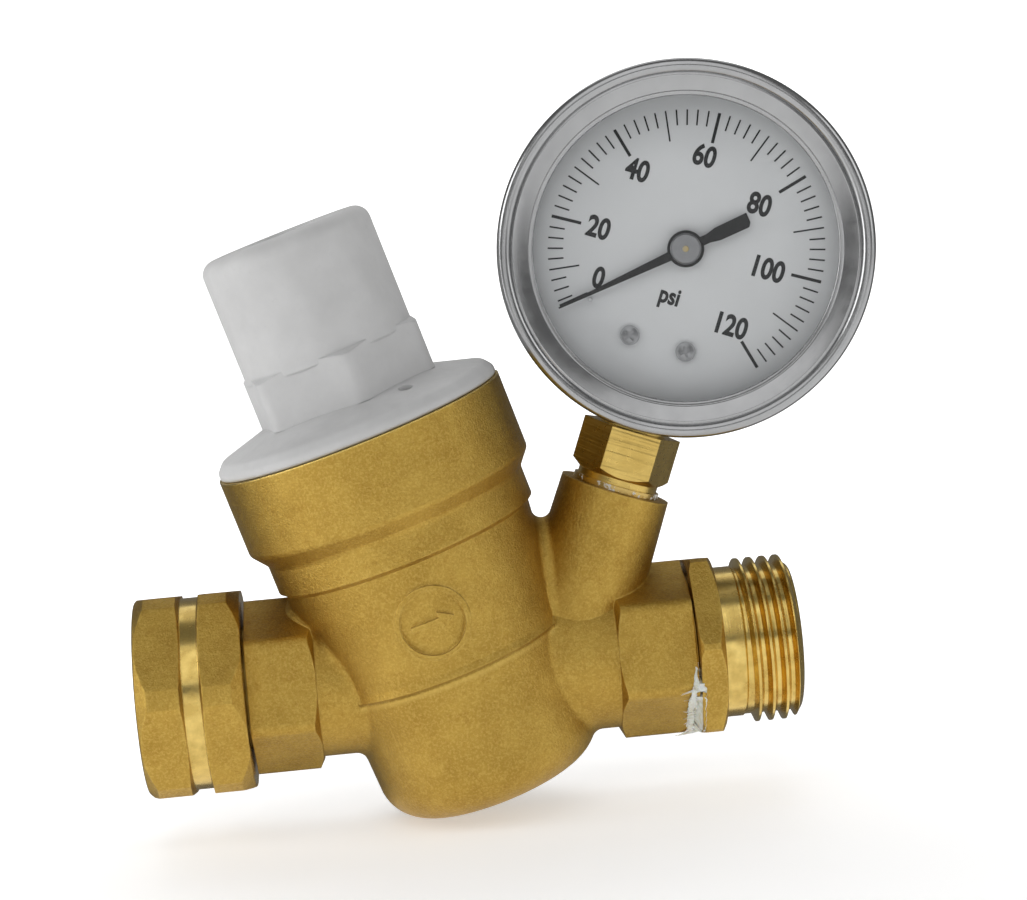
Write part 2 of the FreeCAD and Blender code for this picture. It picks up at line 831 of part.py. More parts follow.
def stem_parts():
    disc_top = size("disc_top")
    head_top = disc_top - size("disc_thick")
    plate_low = size("shelf_height") - 2.25
    stem = turned(
        "valve_stem",
        [
            ("0", f"{head_top - 3.2}"),
            ("disc_r + 0.7", f"{head_top - 3.2}"),
            ("disc_r + 0.7", f"{head_top + 1.4}"),
            ("disc_r + 0.05", f"{head_top + 1.4}"),
            ("disc_r + 0.05", f"{head_top}"),
            ("stem_r", f"{head_top}"),
            ("stem_r", f"{plate_low - 1.4}"),
            ("stem_r + 1.1", f"{plate_low - 1.4}"),
            ("stem_r + 1.1", f"{plate_low}"),
            ("stem_r - 0.5", f"{plate_low}"),
            ("stem_r - 0.5", "stem_top"),
            ("0", "stem_top"),
        ],
        on_bonnet(),
        fillets=[("0.5", [("disc_r + 0.7", f"{head_top - 3.2}")])],
        chamfers=[("0.4", [("stem_r - 0.5", "stem_top")])],
    )
    node(stem, "valve_stem")
    disc = turned(
        "valve_disc", tube_outline("stem_r + 0.05", "disc_r", f"{head_top + 0.02}", f"{disc_top}"),
        on_bonnet(), fillets=[("0.3", [("disc_r", f"{disc_top}")])],
    )
    node(disc, "valve_disc")
    retainer = turned(
        "disc_retainer", tube_outline("stem_r + 0.02", "4.3", f"{disc_top + 0.02}", f"{disc_top + 0.7}"),
        on_bonnet(),
    )
    node(retainer, "disc_retainer")


def diaphragm_parts():
    hole = "stem_r - 0.45"
    low = "shelf_height + 0.02"
    top = "shelf_height + sheet_thick"
    sheet_body = turned(
        "diaphragm",
        [
            (hole, low),
            ("12.4", low),
            ("13.6", low + " + 1.5"),
            ("15.4", low + " + 1.5"),
            ("rim_inner_r", low),
            ("collar_bore_r - 0.2", low),
            ("collar_bore_r - 0.2", top),
            ("rim_inner_r + 0.4", top),
            ("15.9", low + " + 2.5"),
            ("13.1", low + " + 2.5"),
            ("12.0", top),
            (hole, top),
        ],
        on_bonnet(),
    )
    node(sheet_body, "diaphragm")
    lower = turned(
        "diaphragm_washer",
        tube_outline(hole, "plate_r - 0.3", "shelf_height - 2.2", "shelf_height"),
        on_bonnet(),
        fillets=[("0.8", [("plate_r - 0.3", "shelf_height")])],
    )
    node(lower, "diaphragm_washer")
    seat = "shelf_height + sheet_thick + 0.02"
    cup = turned(
        "spring_seat",
        [
            (hole, seat),
            ("plate_r - 0.3", seat),
            ("plate_r", seat + " + 0.4"),
            ("plate_r", seat + " + 4.2"),
            ("plate_r - 1.2", seat + " + 4.2"),
            ("plate_r - 1.2", seat + " + 2.0"),
            (hole, seat + " + 2.0"),
        ],
        on_bonnet(),
    )
    node(cup, "spring_seat")
    bar = hexagon("stem_nut_bar", "8", "3.2", on_bonnet(amount(seat) + 2.02))
    hole_tool = cylinder("stem_nut_hole", "stem_r - 0.45", "6", on_bonnet(amount(seat)))
    node(cut("stem_nut", bar, hole_tool), "stem_nut")
    ring = turned(
        "slip_ring",
        tube_outline("rim_inner_r + 1.4", "collar_bore_r - 0.25", top + " + 0.04", "skirt_low - 0.04"),
        on_bonnet(),
    )
    node(ring, "slip_ring")


# ---------------------------------------------------------------- bonnet

def spring_housing():
    shell = turned(
        "housing_shell",
        [
            ("skirt_bore_r", "skirt_low"),
            ("skirt_r", "skirt_low"),
            ("skirt_r", "collar_top + 0.05"),
            ("housing_rim_r", "collar_top + 0.05"),
            ("housing_rim_r", "housing_rim_top"),
            ("housing_edge_r", "cone_low"),
            ("cone_top_r", "cone_top"),
            ("tower_r - 0.9", "cone_top + 0.3"),
            ("tower_r - 0.9", "grip_top - 0.6"),
            ("tower_r", "grip_top"),
            ("tower_r", "tower_top"),
            ("screw_hole_r + 0.9", "tower_top"),
            ("screw_hole_r", "tower_top - 0.9"),
            ("screw_hole_r", "spring_room_top"),
            ("spring_room_r", "spring_room_top"),
            ("spring_room_r", "cone_top"),
            ("skirt_bore_r", "cone_low - 2.5"),
        ],
        on_bonnet(),
        fillets=[
            ("tower_round", [("tower_r", "tower_top")]),
            ("0.6", [("housing_rim_r", "collar_top + 0.05")]),
            ("1.3", [("housing_rim_r", "housing_rim_top"), ("housing_edge_r", "cone_low")]),
        ],
    )
    grip_len = "grip_top + 0.9 - cone_top"
    bar = hexagon("grip_bar", "grip_across", grip_len, on_bonnet(size("cone_top"), size("grip_turn")), "2.5")
    crown = turned(
        "grip_crown",
        [
            ("tower_r - 1.0", "cone_top"),
            ("grip_across * 0.6", "cone_top"),
            ("grip_across * 0.6", "grip_top - 0.4"),
            ("tower_r - 0.2", "grip_top + 0.9"),
            ("tower_r - 1.0", "grip_top + 0.9"),
        ],
        on_bonnet(),
    )
    grip = shared("grip", bar, crown)
    vent = cylinder("vent", "vent_r", "6", on_bonnet(size("cone_low") - 1.0).multiply(
        lift(0, *polar(size("vent_place"), size("vent_turn")))))
    node(cut("spring_housing", joined("housing_solid", shell, grip), vent), "spring_housing")


def spring_foot():
    return size("shelf_height") + size("sheet_thick") + 2.06


def spring_length():
    return size("button_low") - spring_foot() - 0.04


def spring_parts():
    button = turned(
        "spring_button",
        [
            ("0", "button_low"),
            ("spring_r - spring_wire_r - 0.3", "button_low - 2.2"),
            ("spring_r - spring_wire_r - 0.3", "button_low"),
            ("button_r", "button_low"),
            ("button_r", "button_low + 1.8"),
            ("screw_r + 1.0", "button_low + 3.0"),
            ("0", "button_low + 3.0"),
        ],
        on_bonnet(),
    )
    node(button, "spring_button")
    screw = turned(
        "screw_blank", rod_outline("screw_r", "screw_low", "screw_top"), on_bonnet(),
        chamfers=[("0.5", [("screw_r", "screw_low"), ("screw_r", "screw_top")])],
    )
    slot = box("screw_slot", "screw_r * 2 + 2", "1.6", "4", on_bonnet(size("screw_top") - 2.6, 20.0))
    node(cut("adjusting_screw", screw, slot), "adjusting_screw")
    wire = coil(size("spring_r"), size("spring_wire_r"), size("spring_turns"), spring_length())
    node(shaped("range_spring", wire, on_bonnet(spring_foot())), "range_spring")


# ---------------------------------------------------------------- gauge

def gauge_socket():
    """The brass stem of the gauge: pipe thread, hexagon, and the block inside the case."""
    hex_len = "gauge_height - bezel_r - 0.3 - socket_hex_low"
    bar = hexagon("socket_bar", "socket_across", hex_len,
                  on_stem(size("socket_hex_low")).multiply(turn_z(size("socket_turn"))))
    crown = turned(
        "socket_crown",
        [
            ("0", "0"),
            ("socket_across * 0.5 - 0.3", "0"),
            ("socket_across * 0.6", "1.3"),
            ("socket_across * 0.6", hex_len),
            ("0", hex_len),
        ],
        on_stem(size("socket_hex_low")),
    )
    grip = shared("socket_grip", bar, crown)
    stem = turned(
        "socket_stem",
        [
            ("0", "gauge_hole_low + 1.5"),
            ("gauge_hole_r - 0.65", "gauge_hole_low + 1.5"),
            ("gauge_hole_r - 0.05", "gauge_hole_low + 2.1"),
            ("gauge_hole_r - 0.05", "socket_hex_low + 0.5"),
            ("5.4", "socket_hex_low + 0.5"),
            ("5.4", "gauge_height - case_r + 0.7"),
            ("0", "gauge_height - case_r + 0.7"),
        ],
        on_stem(),
    )
    block_low = amount("gauge_height - case_r + case_wall + 1.0")
    block = box("socket_block", "13", "6.3", f"gauge_height - 10.5 - {block_low}",
                on_stem(block_low).multiply(lift(0, 0, 5.85)))
    bridge = box("socket_bridge", "5", "1.9", "3.2", on_stem(block_low - 2.4).multiply(lift(0, 0, 3.65)))
    bore = cylinder("socket_bore", "1.5", "24", on_stem(size("gauge_hole_low")))
    holes = [
        cylinder(f"movement_screw_hole_{side + 2}", "0.74", "4",
                 on_dial(-5.6, side * MOVEMENT_SCREW[0], MOVEMENT_SCREW[1])) for side in (-1, 1)
    ]
    solid = joined("socket_solid", grip, stem, block, bridge)
    node(cut("gauge_socket", solid, bore, *holes), "gauge_socket")
    tape = turned(
        "gauge_thread_tape",
        tube_outline("gauge_hole_r - 0.02", "gauge_hole_r + 0.45", "boss_top + 0.05", "boss_top + 0.9"),
        on_stem(),
    )
    node(tape, "gauge_thread_tape")


def gauge_shell():
    case = turned(
        "case_cup",
        [
            ("0", "-case_back"),
            ("case_r", "-case_back"),
            ("case_r", "case_rim"),
            ("case_r - case_wall", "case_rim"),
            ("case_r - case_wall", "-case_back + case_wall"),
            ("0", "-case_back + case_wall"),
        ],
        on_dial(),
        fillets=[
            ("case_wall + 1.6", [("case_r", "-case_back")]),
            ("1.6", [("case_r - case_wall", "-case_back + case_wall")]),
        ],
    )
    neck = cylinder("case_neck_hole", "5.5", "6", on_stem(size("gauge_height") - size("case_r") - 2))
    vent = cylinder("case_vent", "4", "4", on_dial(-size("case_back") - 1, 0, 9.0))
    node(cut("gauge_case", case, neck, vent), "gauge_case")
    plug = turned(
        "relief_plug",
        [
            ("0", "-0.9"),
            ("5.4", "-0.9"),
            ("5.4", "-0.05"),
            ("3.95", "-0.05"),
            ("3.95", "case_wall + 0.1"),
            ("4.5", "case_wall + 0.5"),
            ("3.6", "case_wall + 1.6"),
            ("0", "case_wall + 1.6"),
        ],
        on_dial(-size("case_back"), 0, 9.0),
        fillets=[("0.4", [("5.4", "-0.9")])],
    )
    node(plug, "relief_plug")
    bezel = turned(
        "gauge_bezel",
        [
            ("case_r + 0.05", "bezel_skirt"),
            ("bezel_r - 0.5", "bezel_skirt"),
            ("bezel_r", "bezel_skirt + 0.8"),
            ("bezel_r", "bezel_front - 1.6"),
            ("bezel_r - 0.5", "bezel_front - 0.6"),
            ("bezel_r - 1.4", "bezel_front"),
            ("bezel_crease_r + 0.6", "bezel_front - 0.35"),
            ("bezel_crease_r", "bezel_front - 1.1"),
            ("bezel_lip_r", "window_level + window_thick + 0.75"),
            ("bezel_lip_r", "window_level + window_thick + 0.05"),
            ("case_r - 1.2", "window_level + window_thick + 0.05"),
            ("case_r + 0.05", "window_level + window_thick + 0.35"),
        ],
        on_dial(),
    )
    node(bezel, "gauge_bezel")
    seat = "window_level - 0.05"
    gasket = turned(
        "window_gasket",
        tube_outline("bezel_lip_r + 1.2", "case_r - case_wall - 0.1", "window_level - 0.9", seat),
        on_dial(),
    )
    node(gasket, "window_gasket")
    window = turned(
        "gauge_window",
        rod_outline("case_r - case_wall - 0.1", "window_level", "window_level + window_thick"),
        on_dial(),
    )
    node(window, "gauge_window")


def dial_screw():
    """A small domed screw with a cross recess, its head standing on z = 0."""
    head_r, rim, dome, dome_r = size("dial_screw_r"), 0.55, 0.9, 2.9
    head = Part.makeCylinder(head_r, rim).fuse(Part.makeCylinder(0.7, 4.6, Vector(0, 0, -4.6)))
    crown = Part.makeSphere(dome_r, Vector(0, 0, dome - dome_r)).common(Part.makeCylinder(head_r, dome))
    long, wide, floor = 1.9, 0.42, 0.25
    across = Part.makeBox(long, wide, 1, Vector(-long / 2, -wide / 2, floor))
    upright = Part.makeBox(wide, long, 1, Vector(-wide / 2, -long / 2, floor))
    return head.fuse(crown).cut(across.fuse(upright))


def gauge_dial():
    plate = turned(
        "dial_blank", rod_outline("dial_r", "dial_level", "dial_level + dial_thick"), on_dial())
    tools = [cylinder("dial_centre_hole", "1.2", "4", on_dial(0.5))]
    for side in (-1, 1):
        place = on_dial(0.5, side * size("dial_screw_x"), -size("dial_screw_y"))
        tools.append(cylinder(f"dial_screw_hole_{side + 2}", "0.75", "4", place))
    stop_x, stop_y = polar(size("stop_pin_place"), size("stop_pin_turn"))
    tools.append(cylinder("stop_pin_hole", "0.32", "4", on_dial(0.5, stop_x, stop_y)))
    node(cut("gauge_dial", plate, *tools), "gauge_dial")
    pin = turned("stop_pin", rod_outline("0.3", "1.6", "4.6"), on_dial(0, stop_x, stop_y))
    node(pin, "stop_pin")
    top = amount("dial_level + dial_thick") + 0.02
    screws, posts = [], []
    for side in (-1, 1):
        spot = Vector(side * size("dial_screw_x"), -size("dial_screw_y"), 0)
        screw = dial_screw()
        screw.rotate(Vector(), Vector(0, 0, 1), 35.0 * side)
        screws.append(screw.translated(spot))
        post = Part.makeCylinder(1.0, top + 2.6 - 0.55).cut(Part.makeCylinder(0.72, 9))
        posts.append(post.translated(spot))
    node(shaped("dial_screws", Part.makeCompound(screws), on_dial(top)), "dial_screws")
    node(shaped("dial_posts", Part.makeCompound(posts), on_dial(-2.65)), "dial_posts")


def pointer_parts():
    """The pointer rests on zero, just clear of the stop pin, and sweeps clockwise."""
    blade_level = 3.7
    thick = 0.35
    blade = slab(
        [
            (22.4, -0.14), (22.4, 0.14), (2.6, 0.75), (-4.0, 0.75), (-5.6, 1.1), (-10.6, 1.15),
            (-11.1, 0.5), (-11.1, -1.15), (-5.6, -1.1), (-4.0, -0.75), (2.6, -0.75),
        ],
        thick,
    )
    blade = blade.fuse(Part.makeCylinder(2.96, thick)).cut(Part.makeCylinder(0.51, 3, Vector(0, 0, -1)))
    blade.rotate(Vector(), Vector(0, 0, 1), size("pointer_rest"))
    node(shaped("pointer", blade, on_dial(blade_level)), "pointer")
    hub = turned(
        "pointer_hub",
        [
            ("arbor_r + 0.01", "0.37"),
            ("2.5", "0.37"),
            ("2.5", "0.95"),
            ("2.25", "1.2"),
            ("arbor_r + 0.01", "1.2"),
        ],
        on_dial(blade_level),
    )
    node(hub, "pointer_hub")


# ---------------------------------------------------------------- gauge movement

def tooth_flank(pitch_r, addendum, dedendum, side_angle):
    """Points of one involute flank from root to tip, as (radius, half angle in degrees)."""
    pressure = math.radians(20.0)
    base = pitch_r * math.cos(pressure)
    involute = math.tan(pressure) - pressure
    points = []
    steps = 5
    for step in range(steps + 1):
        radius = pitch_r - dedendum + (addendum + dedendum) * step / steps
        swept = 0.0
        if radius > base:
            angle = math.acos(base / radius)
            swept = math.tan(angle) - angle
        points.append((radius, side_angle + math.degrees(involute - swept)))
    return points


def gear_outline(teeth, pitch_r, first, last, centre, backlash):
    """Corner points along the teeth from number first to last, tooth 0 centred on the angle."""
    module = size("gear_module")
    half = 90.0 / teeth - math.degrees(backlash / 2 / pitch_r)
    flank = tooth_flank(pitch_r, 0.85 * module, 1.2 * module, half)
    points = []
    for number in range(first, last + 1):
        middle = centre + 360.0 / teeth * number
        points += [polar(radius, middle - angle) for radius, angle in flank]
        points += [polar(radius, middle + angle) for radius, angle in reversed(flank)]
    return points


def gear_parts():
    module, thick = size("gear_module"), size("gear_thick")
    pinion_teeth, sector_teeth = int(size("pinion_teeth")), int(size("sector_teeth"))
    pinion_r, sector_r = module * pinion_teeth / 2, module * sector_teeth / 2
    drop = pinion_r + sector_r
    level = size("gear_level")
    backlash = 0.07
    # a pinion tooth points at the sector, and a sector gap points at the pinion
    ring = gear_outline(pinion_teeth, pinion_r, 0, pinion_teeth - 1, -90.0, backlash)
    arbor = Part.makeCylinder(size("arbor_r"), 7.6, Vector(0, 0, -1.0))
    pinion = slab(ring, thick).fuse(arbor).removeSplitter()
    node(shaped("pinion_arbor", pinion, on_dial(level)), "pinion_arbor")

    pitch_angle = 360.0 / sector_teeth
    back_teeth = int(size("sector_travel") / pitch_angle) + 2
    arc = gear_outline(sector_teeth, sector_r, -back_teeth, 2, 90.0 - pitch_angle / 2, backlash)
    tail = size("tail_pin_r")
    rest = -90.0 - size("sector_travel") / 2
    web = slab([polar(1.2, -20.0)] + arc + [polar(1.2, 140.0), (0, 0)], thick)
    window_low = polar(sector_r - 1.6, 90.0 - pitch_angle * (back_teeth - 2))
    window_high = polar(sector_r - 1.6, 90.0 - pitch_angle * 2)
    window = slab([polar(4.2, 72.0), window_low, window_high], thick)
    arm = Part.makeBox(tail, 1.5, thick, Vector(0, -0.75, 0)).fuse(
        Part.makeCylinder(0.95, thick, Vector(tail, 0, 0)))
    pin = Part.makeCylinder(0.4, 1.0, Vector(tail, 0, thick - 0.1))
    arm = arm.fuse(pin)
    arm.rotate(Vector(), Vector(0, 0, 1), rest)
    staff = Part.makeCylinder(0.45, 2.9, Vector(0, 0, -0.9)).fuse(Part.makeCylinder(1.5, thick))
    sector = web.cut(window).fuse(arm).fuse(staff)
    node(shaped("sector_gear", sector, on_dial(level, 0, -drop)), "sector_gear")

    # the link runs from the sector's tail pin to the pin on the tube's tip
    x, y = polar(tail, rest)
    length = size("link_len")
    link_level = level + thick + 0.06
    link = Part.makeBox(length, 1.3, 0.5, Vector(0, -0.65, 0))
    for end in (0, length):
        link = link.fuse(Part.makeCylinder(0.95, 0.5, Vector(end, 0, 0)))
    link = link.cut(Part.makeCylinder(0.46, 2, Vector(0, 0, -1)))
    link = link.cut(Part.makeCylinder(0.72, 2, Vector(length, 0, -1)))
    node(shaped("movement_link", link, on_dial(link_level, x, y - drop)), "movement_link")


def plates():
    module = size("gear_module")
    drop = module * (size("pinion_teeth") + size("sector_teeth")) / 2
    low, high, half = -14.6, 3.4, 9.6
    pillars = [(side * MOVEMENT_PILLAR[0], MOVEMENT_PILLAR[1]) for side in (-1, 1)]
    fixings = [(side * MOVEMENT_SCREW[0], MOVEMENT_SCREW[1]) for side in (-1, 1)]

    def plate(thickness, sector_hole):
        shape = Part.makeBox(2 * half, high - low, thickness, Vector(-half, low, 0))
        corners = [edge for edge in shape.Edges if abs(edge.tangentAt(0).z) > 0.99]
        shape = shape.makeFillet(2.0, corners)
        shape = shape.cut(Part.makeCylinder(0.54, 5, Vector(0, 0, -1)))
        shape = shape.cut(Part.makeCylinder(sector_hole, 5, Vector(0, -drop, -1)))
        for x, y in pillars:
            shape = shape.cut(Part.makeCylinder(0.62, 5, Vector(x, y, -1)))
        return shape

    back = plate(0.8, 0.48)
    for x, y in fixings:
        back = back.cut(Part.makeCylinder(0.75, 3, Vector(x, y, -1)))
    node(shaped("movement_back_plate", back, on_dial(-2.6)), "movement_back_plate")
    node(shaped("movement_front_plate", plate(0.6, 0.48), on_dial(0.5)), "movement_front_plate")

    posts = [
        Part.makeCylinder(1.1, 2.26).fuse(Part.makeCylinder(0.6, 3.6, Vector(0, 0, -0.72)))
        .translated(Vector(x, y, 0)) for x, y in pillars
    ]
    node(shaped("movement_pillars", Part.makeCompound(posts), on_dial(-1.78)), "movement_pillars")
    screws = [
        Part.makeCylinder(1.2, 0.5).fuse(Part.makeCylinder(0.7, 3.0, Vector(0, 0, -3.0)))
        .cut(Part.makeBox(3, 0.3, 1, Vector(-1.5, -0.15, 0.28)))
        .translated(Vector(x, y, 0)) for x, y in fixings
    ]
    node(shaped("movement_screws", Part.makeCompound(screws), on_dial(-1.78)), "movement_screws")


def hairspring():
    """A flat spiral between the pinion and a stud on the front plate."""
    turns, inner, outer, samples = 4.5, 0.9, 3.6, 12
    points = []
    for step in range(int(turns * samples) + 1):
        share = step / (turns * samples)
        x, y = polar(inner + (outer - inner) * share, 360.0 * turns * share)
        points.append(Vector(x, y, 0))
    curve = Part.BSplineCurve()
    curve.interpolate(points)
    spine = Part.Wire(curve.toShape())
    wide, tall = 0.14, 0.4
    start = points[0]
    corners = [
        start + Vector(-wide / 2, 0, 0), start + Vector(wide / 2, 0, 0),
        start + Vector(wide / 2, 0, tall), start + Vector(-wide / 2, 0, tall),
    ]
    section = Part.makePolygon(corners + corners[:1])
    strip = spine.makePipeShell([section], True, True)
    node(shaped("hairspring", strip, on_dial(-0.4)), "hairspring")


def bourdon_tube():
    """A flattened tube bent to an arc, from the socket's block round to its free tip."""
    radius, wide, thick = size("tube_r"), size("tube_width"), size("tube_thick")
    start, end = size("tube_start"), size("tube_end")
    sweep = 360.0 + start - end
    level = -5.9

    def band(inner, outer, height):
        shape = Part.makeCylinder(outer, height, Vector(), Vector(0, 0, 1), sweep)
        return shape.cut(Part.makeCylinder(inner, height + 2, Vector(0, 0, -1)))

    solid = band(radius - thick / 2, radius + thick / 2, wide)
    long_edges = [edge for edge in solid.Edges if edge.Length > radius]
    solid = solid.makeFillet(thick * 0.45, long_edges)
    hollow = band(radius - thick / 2 + 0.35, radius + thick / 2 - 0.35, wide - 0.9)
    hollow.translate(Vector(0, 0, 0.45))
    solid = solid.cut(hollow)
    solid.rotate(Vector(), Vector(0, 0, 1), end)
    node(shaped("bourdon_tube", solid, on_dial(level - wide / 2)), "bourdon_tube")

    # the tip plug carries on along the tube's line and holds the link's far pin
    x, y = polar(radius, end)
    plug = Part.makeBox(8.4, thick, wide, Vector(0.05, -thick / 2, 0))
    plug.rotate(Vector(), Vector(0, 0, 1), end - 90.0)
    plug.translate(Vector(x, y, level - wide / 2))
    tail_x, tail_y = polar(size("tail_pin_r"), -90.0 - size("sector_travel") / 2)
    drop = size("gear_module") * (size("pinion_teeth") + size("sector_teeth")) / 2
    pin_x, pin_y = tail_x + size("link_len"), tail_y - drop - 0.12
    lug_top = -1.2
    lug = Part.makeCylinder(1.1, lug_top - level, Vector(pin_x, pin_y, level))
    pin = Part.makeCylinder(0.45, 1.3, Vector(pin_x, pin_y, lug_top - 0.1))
    node(shaped("tube_tip", plug.fuse(lug).fuse(pin), on_dial()), "tube_tip")


# ---------------------------------------------------------------- checks and files

def check_travels():
    """The valve disc's lift ends short of the seat, and the spring is never coil bound."""
    disc_gap = size("web_low") - size("nozzle_proud") - size("disc_top")
    squeezed = spring_length() - size("screw_pitch") * size("screw_turns")
    coil_bound = (size("spring_turns") + 1) * 2 * size("spring_wire_r")
    if disc_gap < size("valve_lift") or squeezed < coil_bound:
        raise RuntimeError("a moving part has less room than its travel")


def check(item):
    faults = {"Invalid", "Error"} & set(item.State)
    if faults:
        raise RuntimeError(f"{item.Label}: {item.State}")


def write_nodes():
    for item in doc.Objects:
        check(item)
    os.makedirs("parts", exist_ok=True)
    for item in nodes:
        shape = item.Shape
        if shape.isNull() or not shape.isValid():
            raise RuntimeError(f"{item.Label} has no valid shape")
        shape.exportStep(os.path.join("parts", item.Label + ".step"))
        print(f"{item.Label:24s} {len(shape.Solids)} solid  {shape.Volume:10.2f} mm3")


fill_sheet()
check_travels()
valve_body()
inlet_nut()
inlet_tail()
inlet_washer()
inlet_screen()
outlet_adapter()
seat_parts()
stem_parts()
diaphragm_parts()
spring_housing()
spring_parts()
gauge_socket()
gauge_shell()
gauge_dial()
pointer_parts()
gear_parts()
plates()
hairspring()
bourdon_tube()
doc.recompute()
write_nodes()
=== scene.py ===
import json
import math
import random

import bmesh
import bpy
from mathutils import Matrix, Vector
from mathutils.bvhtree import BVHTree


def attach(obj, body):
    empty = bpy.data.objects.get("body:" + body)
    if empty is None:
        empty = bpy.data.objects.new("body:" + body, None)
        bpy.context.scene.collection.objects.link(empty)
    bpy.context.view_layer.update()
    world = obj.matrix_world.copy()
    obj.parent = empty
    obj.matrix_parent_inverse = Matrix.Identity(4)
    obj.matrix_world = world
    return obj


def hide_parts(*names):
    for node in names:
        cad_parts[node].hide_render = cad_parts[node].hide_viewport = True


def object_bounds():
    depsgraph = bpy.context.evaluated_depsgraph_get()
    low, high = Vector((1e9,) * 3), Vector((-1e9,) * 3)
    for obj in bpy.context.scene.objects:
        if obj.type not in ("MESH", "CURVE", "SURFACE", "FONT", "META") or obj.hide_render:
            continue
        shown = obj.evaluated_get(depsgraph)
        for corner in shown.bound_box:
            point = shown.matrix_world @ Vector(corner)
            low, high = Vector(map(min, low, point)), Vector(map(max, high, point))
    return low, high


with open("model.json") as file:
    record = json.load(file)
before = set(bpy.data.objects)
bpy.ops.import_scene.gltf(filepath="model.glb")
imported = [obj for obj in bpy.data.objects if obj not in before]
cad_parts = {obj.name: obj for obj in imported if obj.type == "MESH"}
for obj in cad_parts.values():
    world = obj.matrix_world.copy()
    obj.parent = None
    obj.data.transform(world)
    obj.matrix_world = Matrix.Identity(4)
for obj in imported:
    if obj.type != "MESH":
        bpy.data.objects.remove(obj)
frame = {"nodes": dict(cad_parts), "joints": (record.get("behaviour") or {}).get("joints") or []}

cad_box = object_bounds()

# Metres, in the row frame: +X is the flow, +Z is up, the gauge reads towards -Y.
MM = 0.001
NODES = frame["nodes"]
JOINTS = {joint["name"]: joint for joint in frame["joints"]}
random.seed(7)


# ---------------------------------------------------------------- frames

def pivot(joint):
    return Vector(JOINTS[joint]["pos_m"])


def along(joint):
    return Vector(JOINTS[joint]["axis"]).normalized()


def reach(node, direction):
    """The node's lowest and highest distance along a direction from the origin."""
    marks = [vertex.co.dot(direction) for vertex in NODES[node].data.vertices]
    return min(marks), max(marks)


def spread(node, centre, axis):
    """The node's greatest distance from a line."""
    return max((vertex.co - centre).cross(axis).length for vertex in NODES[node].data.vertices)


def place(origin, right, up):
    """A frame with its X to the right, its Y up and its Z towards the reader."""
    out = right.cross(up)
    return Matrix.Translation(origin) @ Matrix((right, up, out)).transposed().to_4x4()


RUN = Vector((1, 0, 0))
BONNET = along("stem_lift")
CROSS = pivot("screw_turn") - BONNET * (pivot("screw_turn").z / BONNET.z)
DIAL_OUT = -along("pointer_sweep")
DIAL_UP = (pivot("pointer_sweep") - pivot("sector_swing")).normalized()
DIAL_RIGHT = DIAL_UP.cross(DIAL_OUT)
DIAL_FACE = reach("gauge_dial", DIAL_OUT)[1]
DIAL_CENTRE = pivot("pointer_sweep") + DIAL_OUT * (DIAL_FACE - pivot("pointer_sweep").dot(DIAL_OUT))
DIAL_PLACE = place(DIAL_CENTRE, DIAL_RIGHT, DIAL_UP)


# ---------------------------------------------------------------- node materials

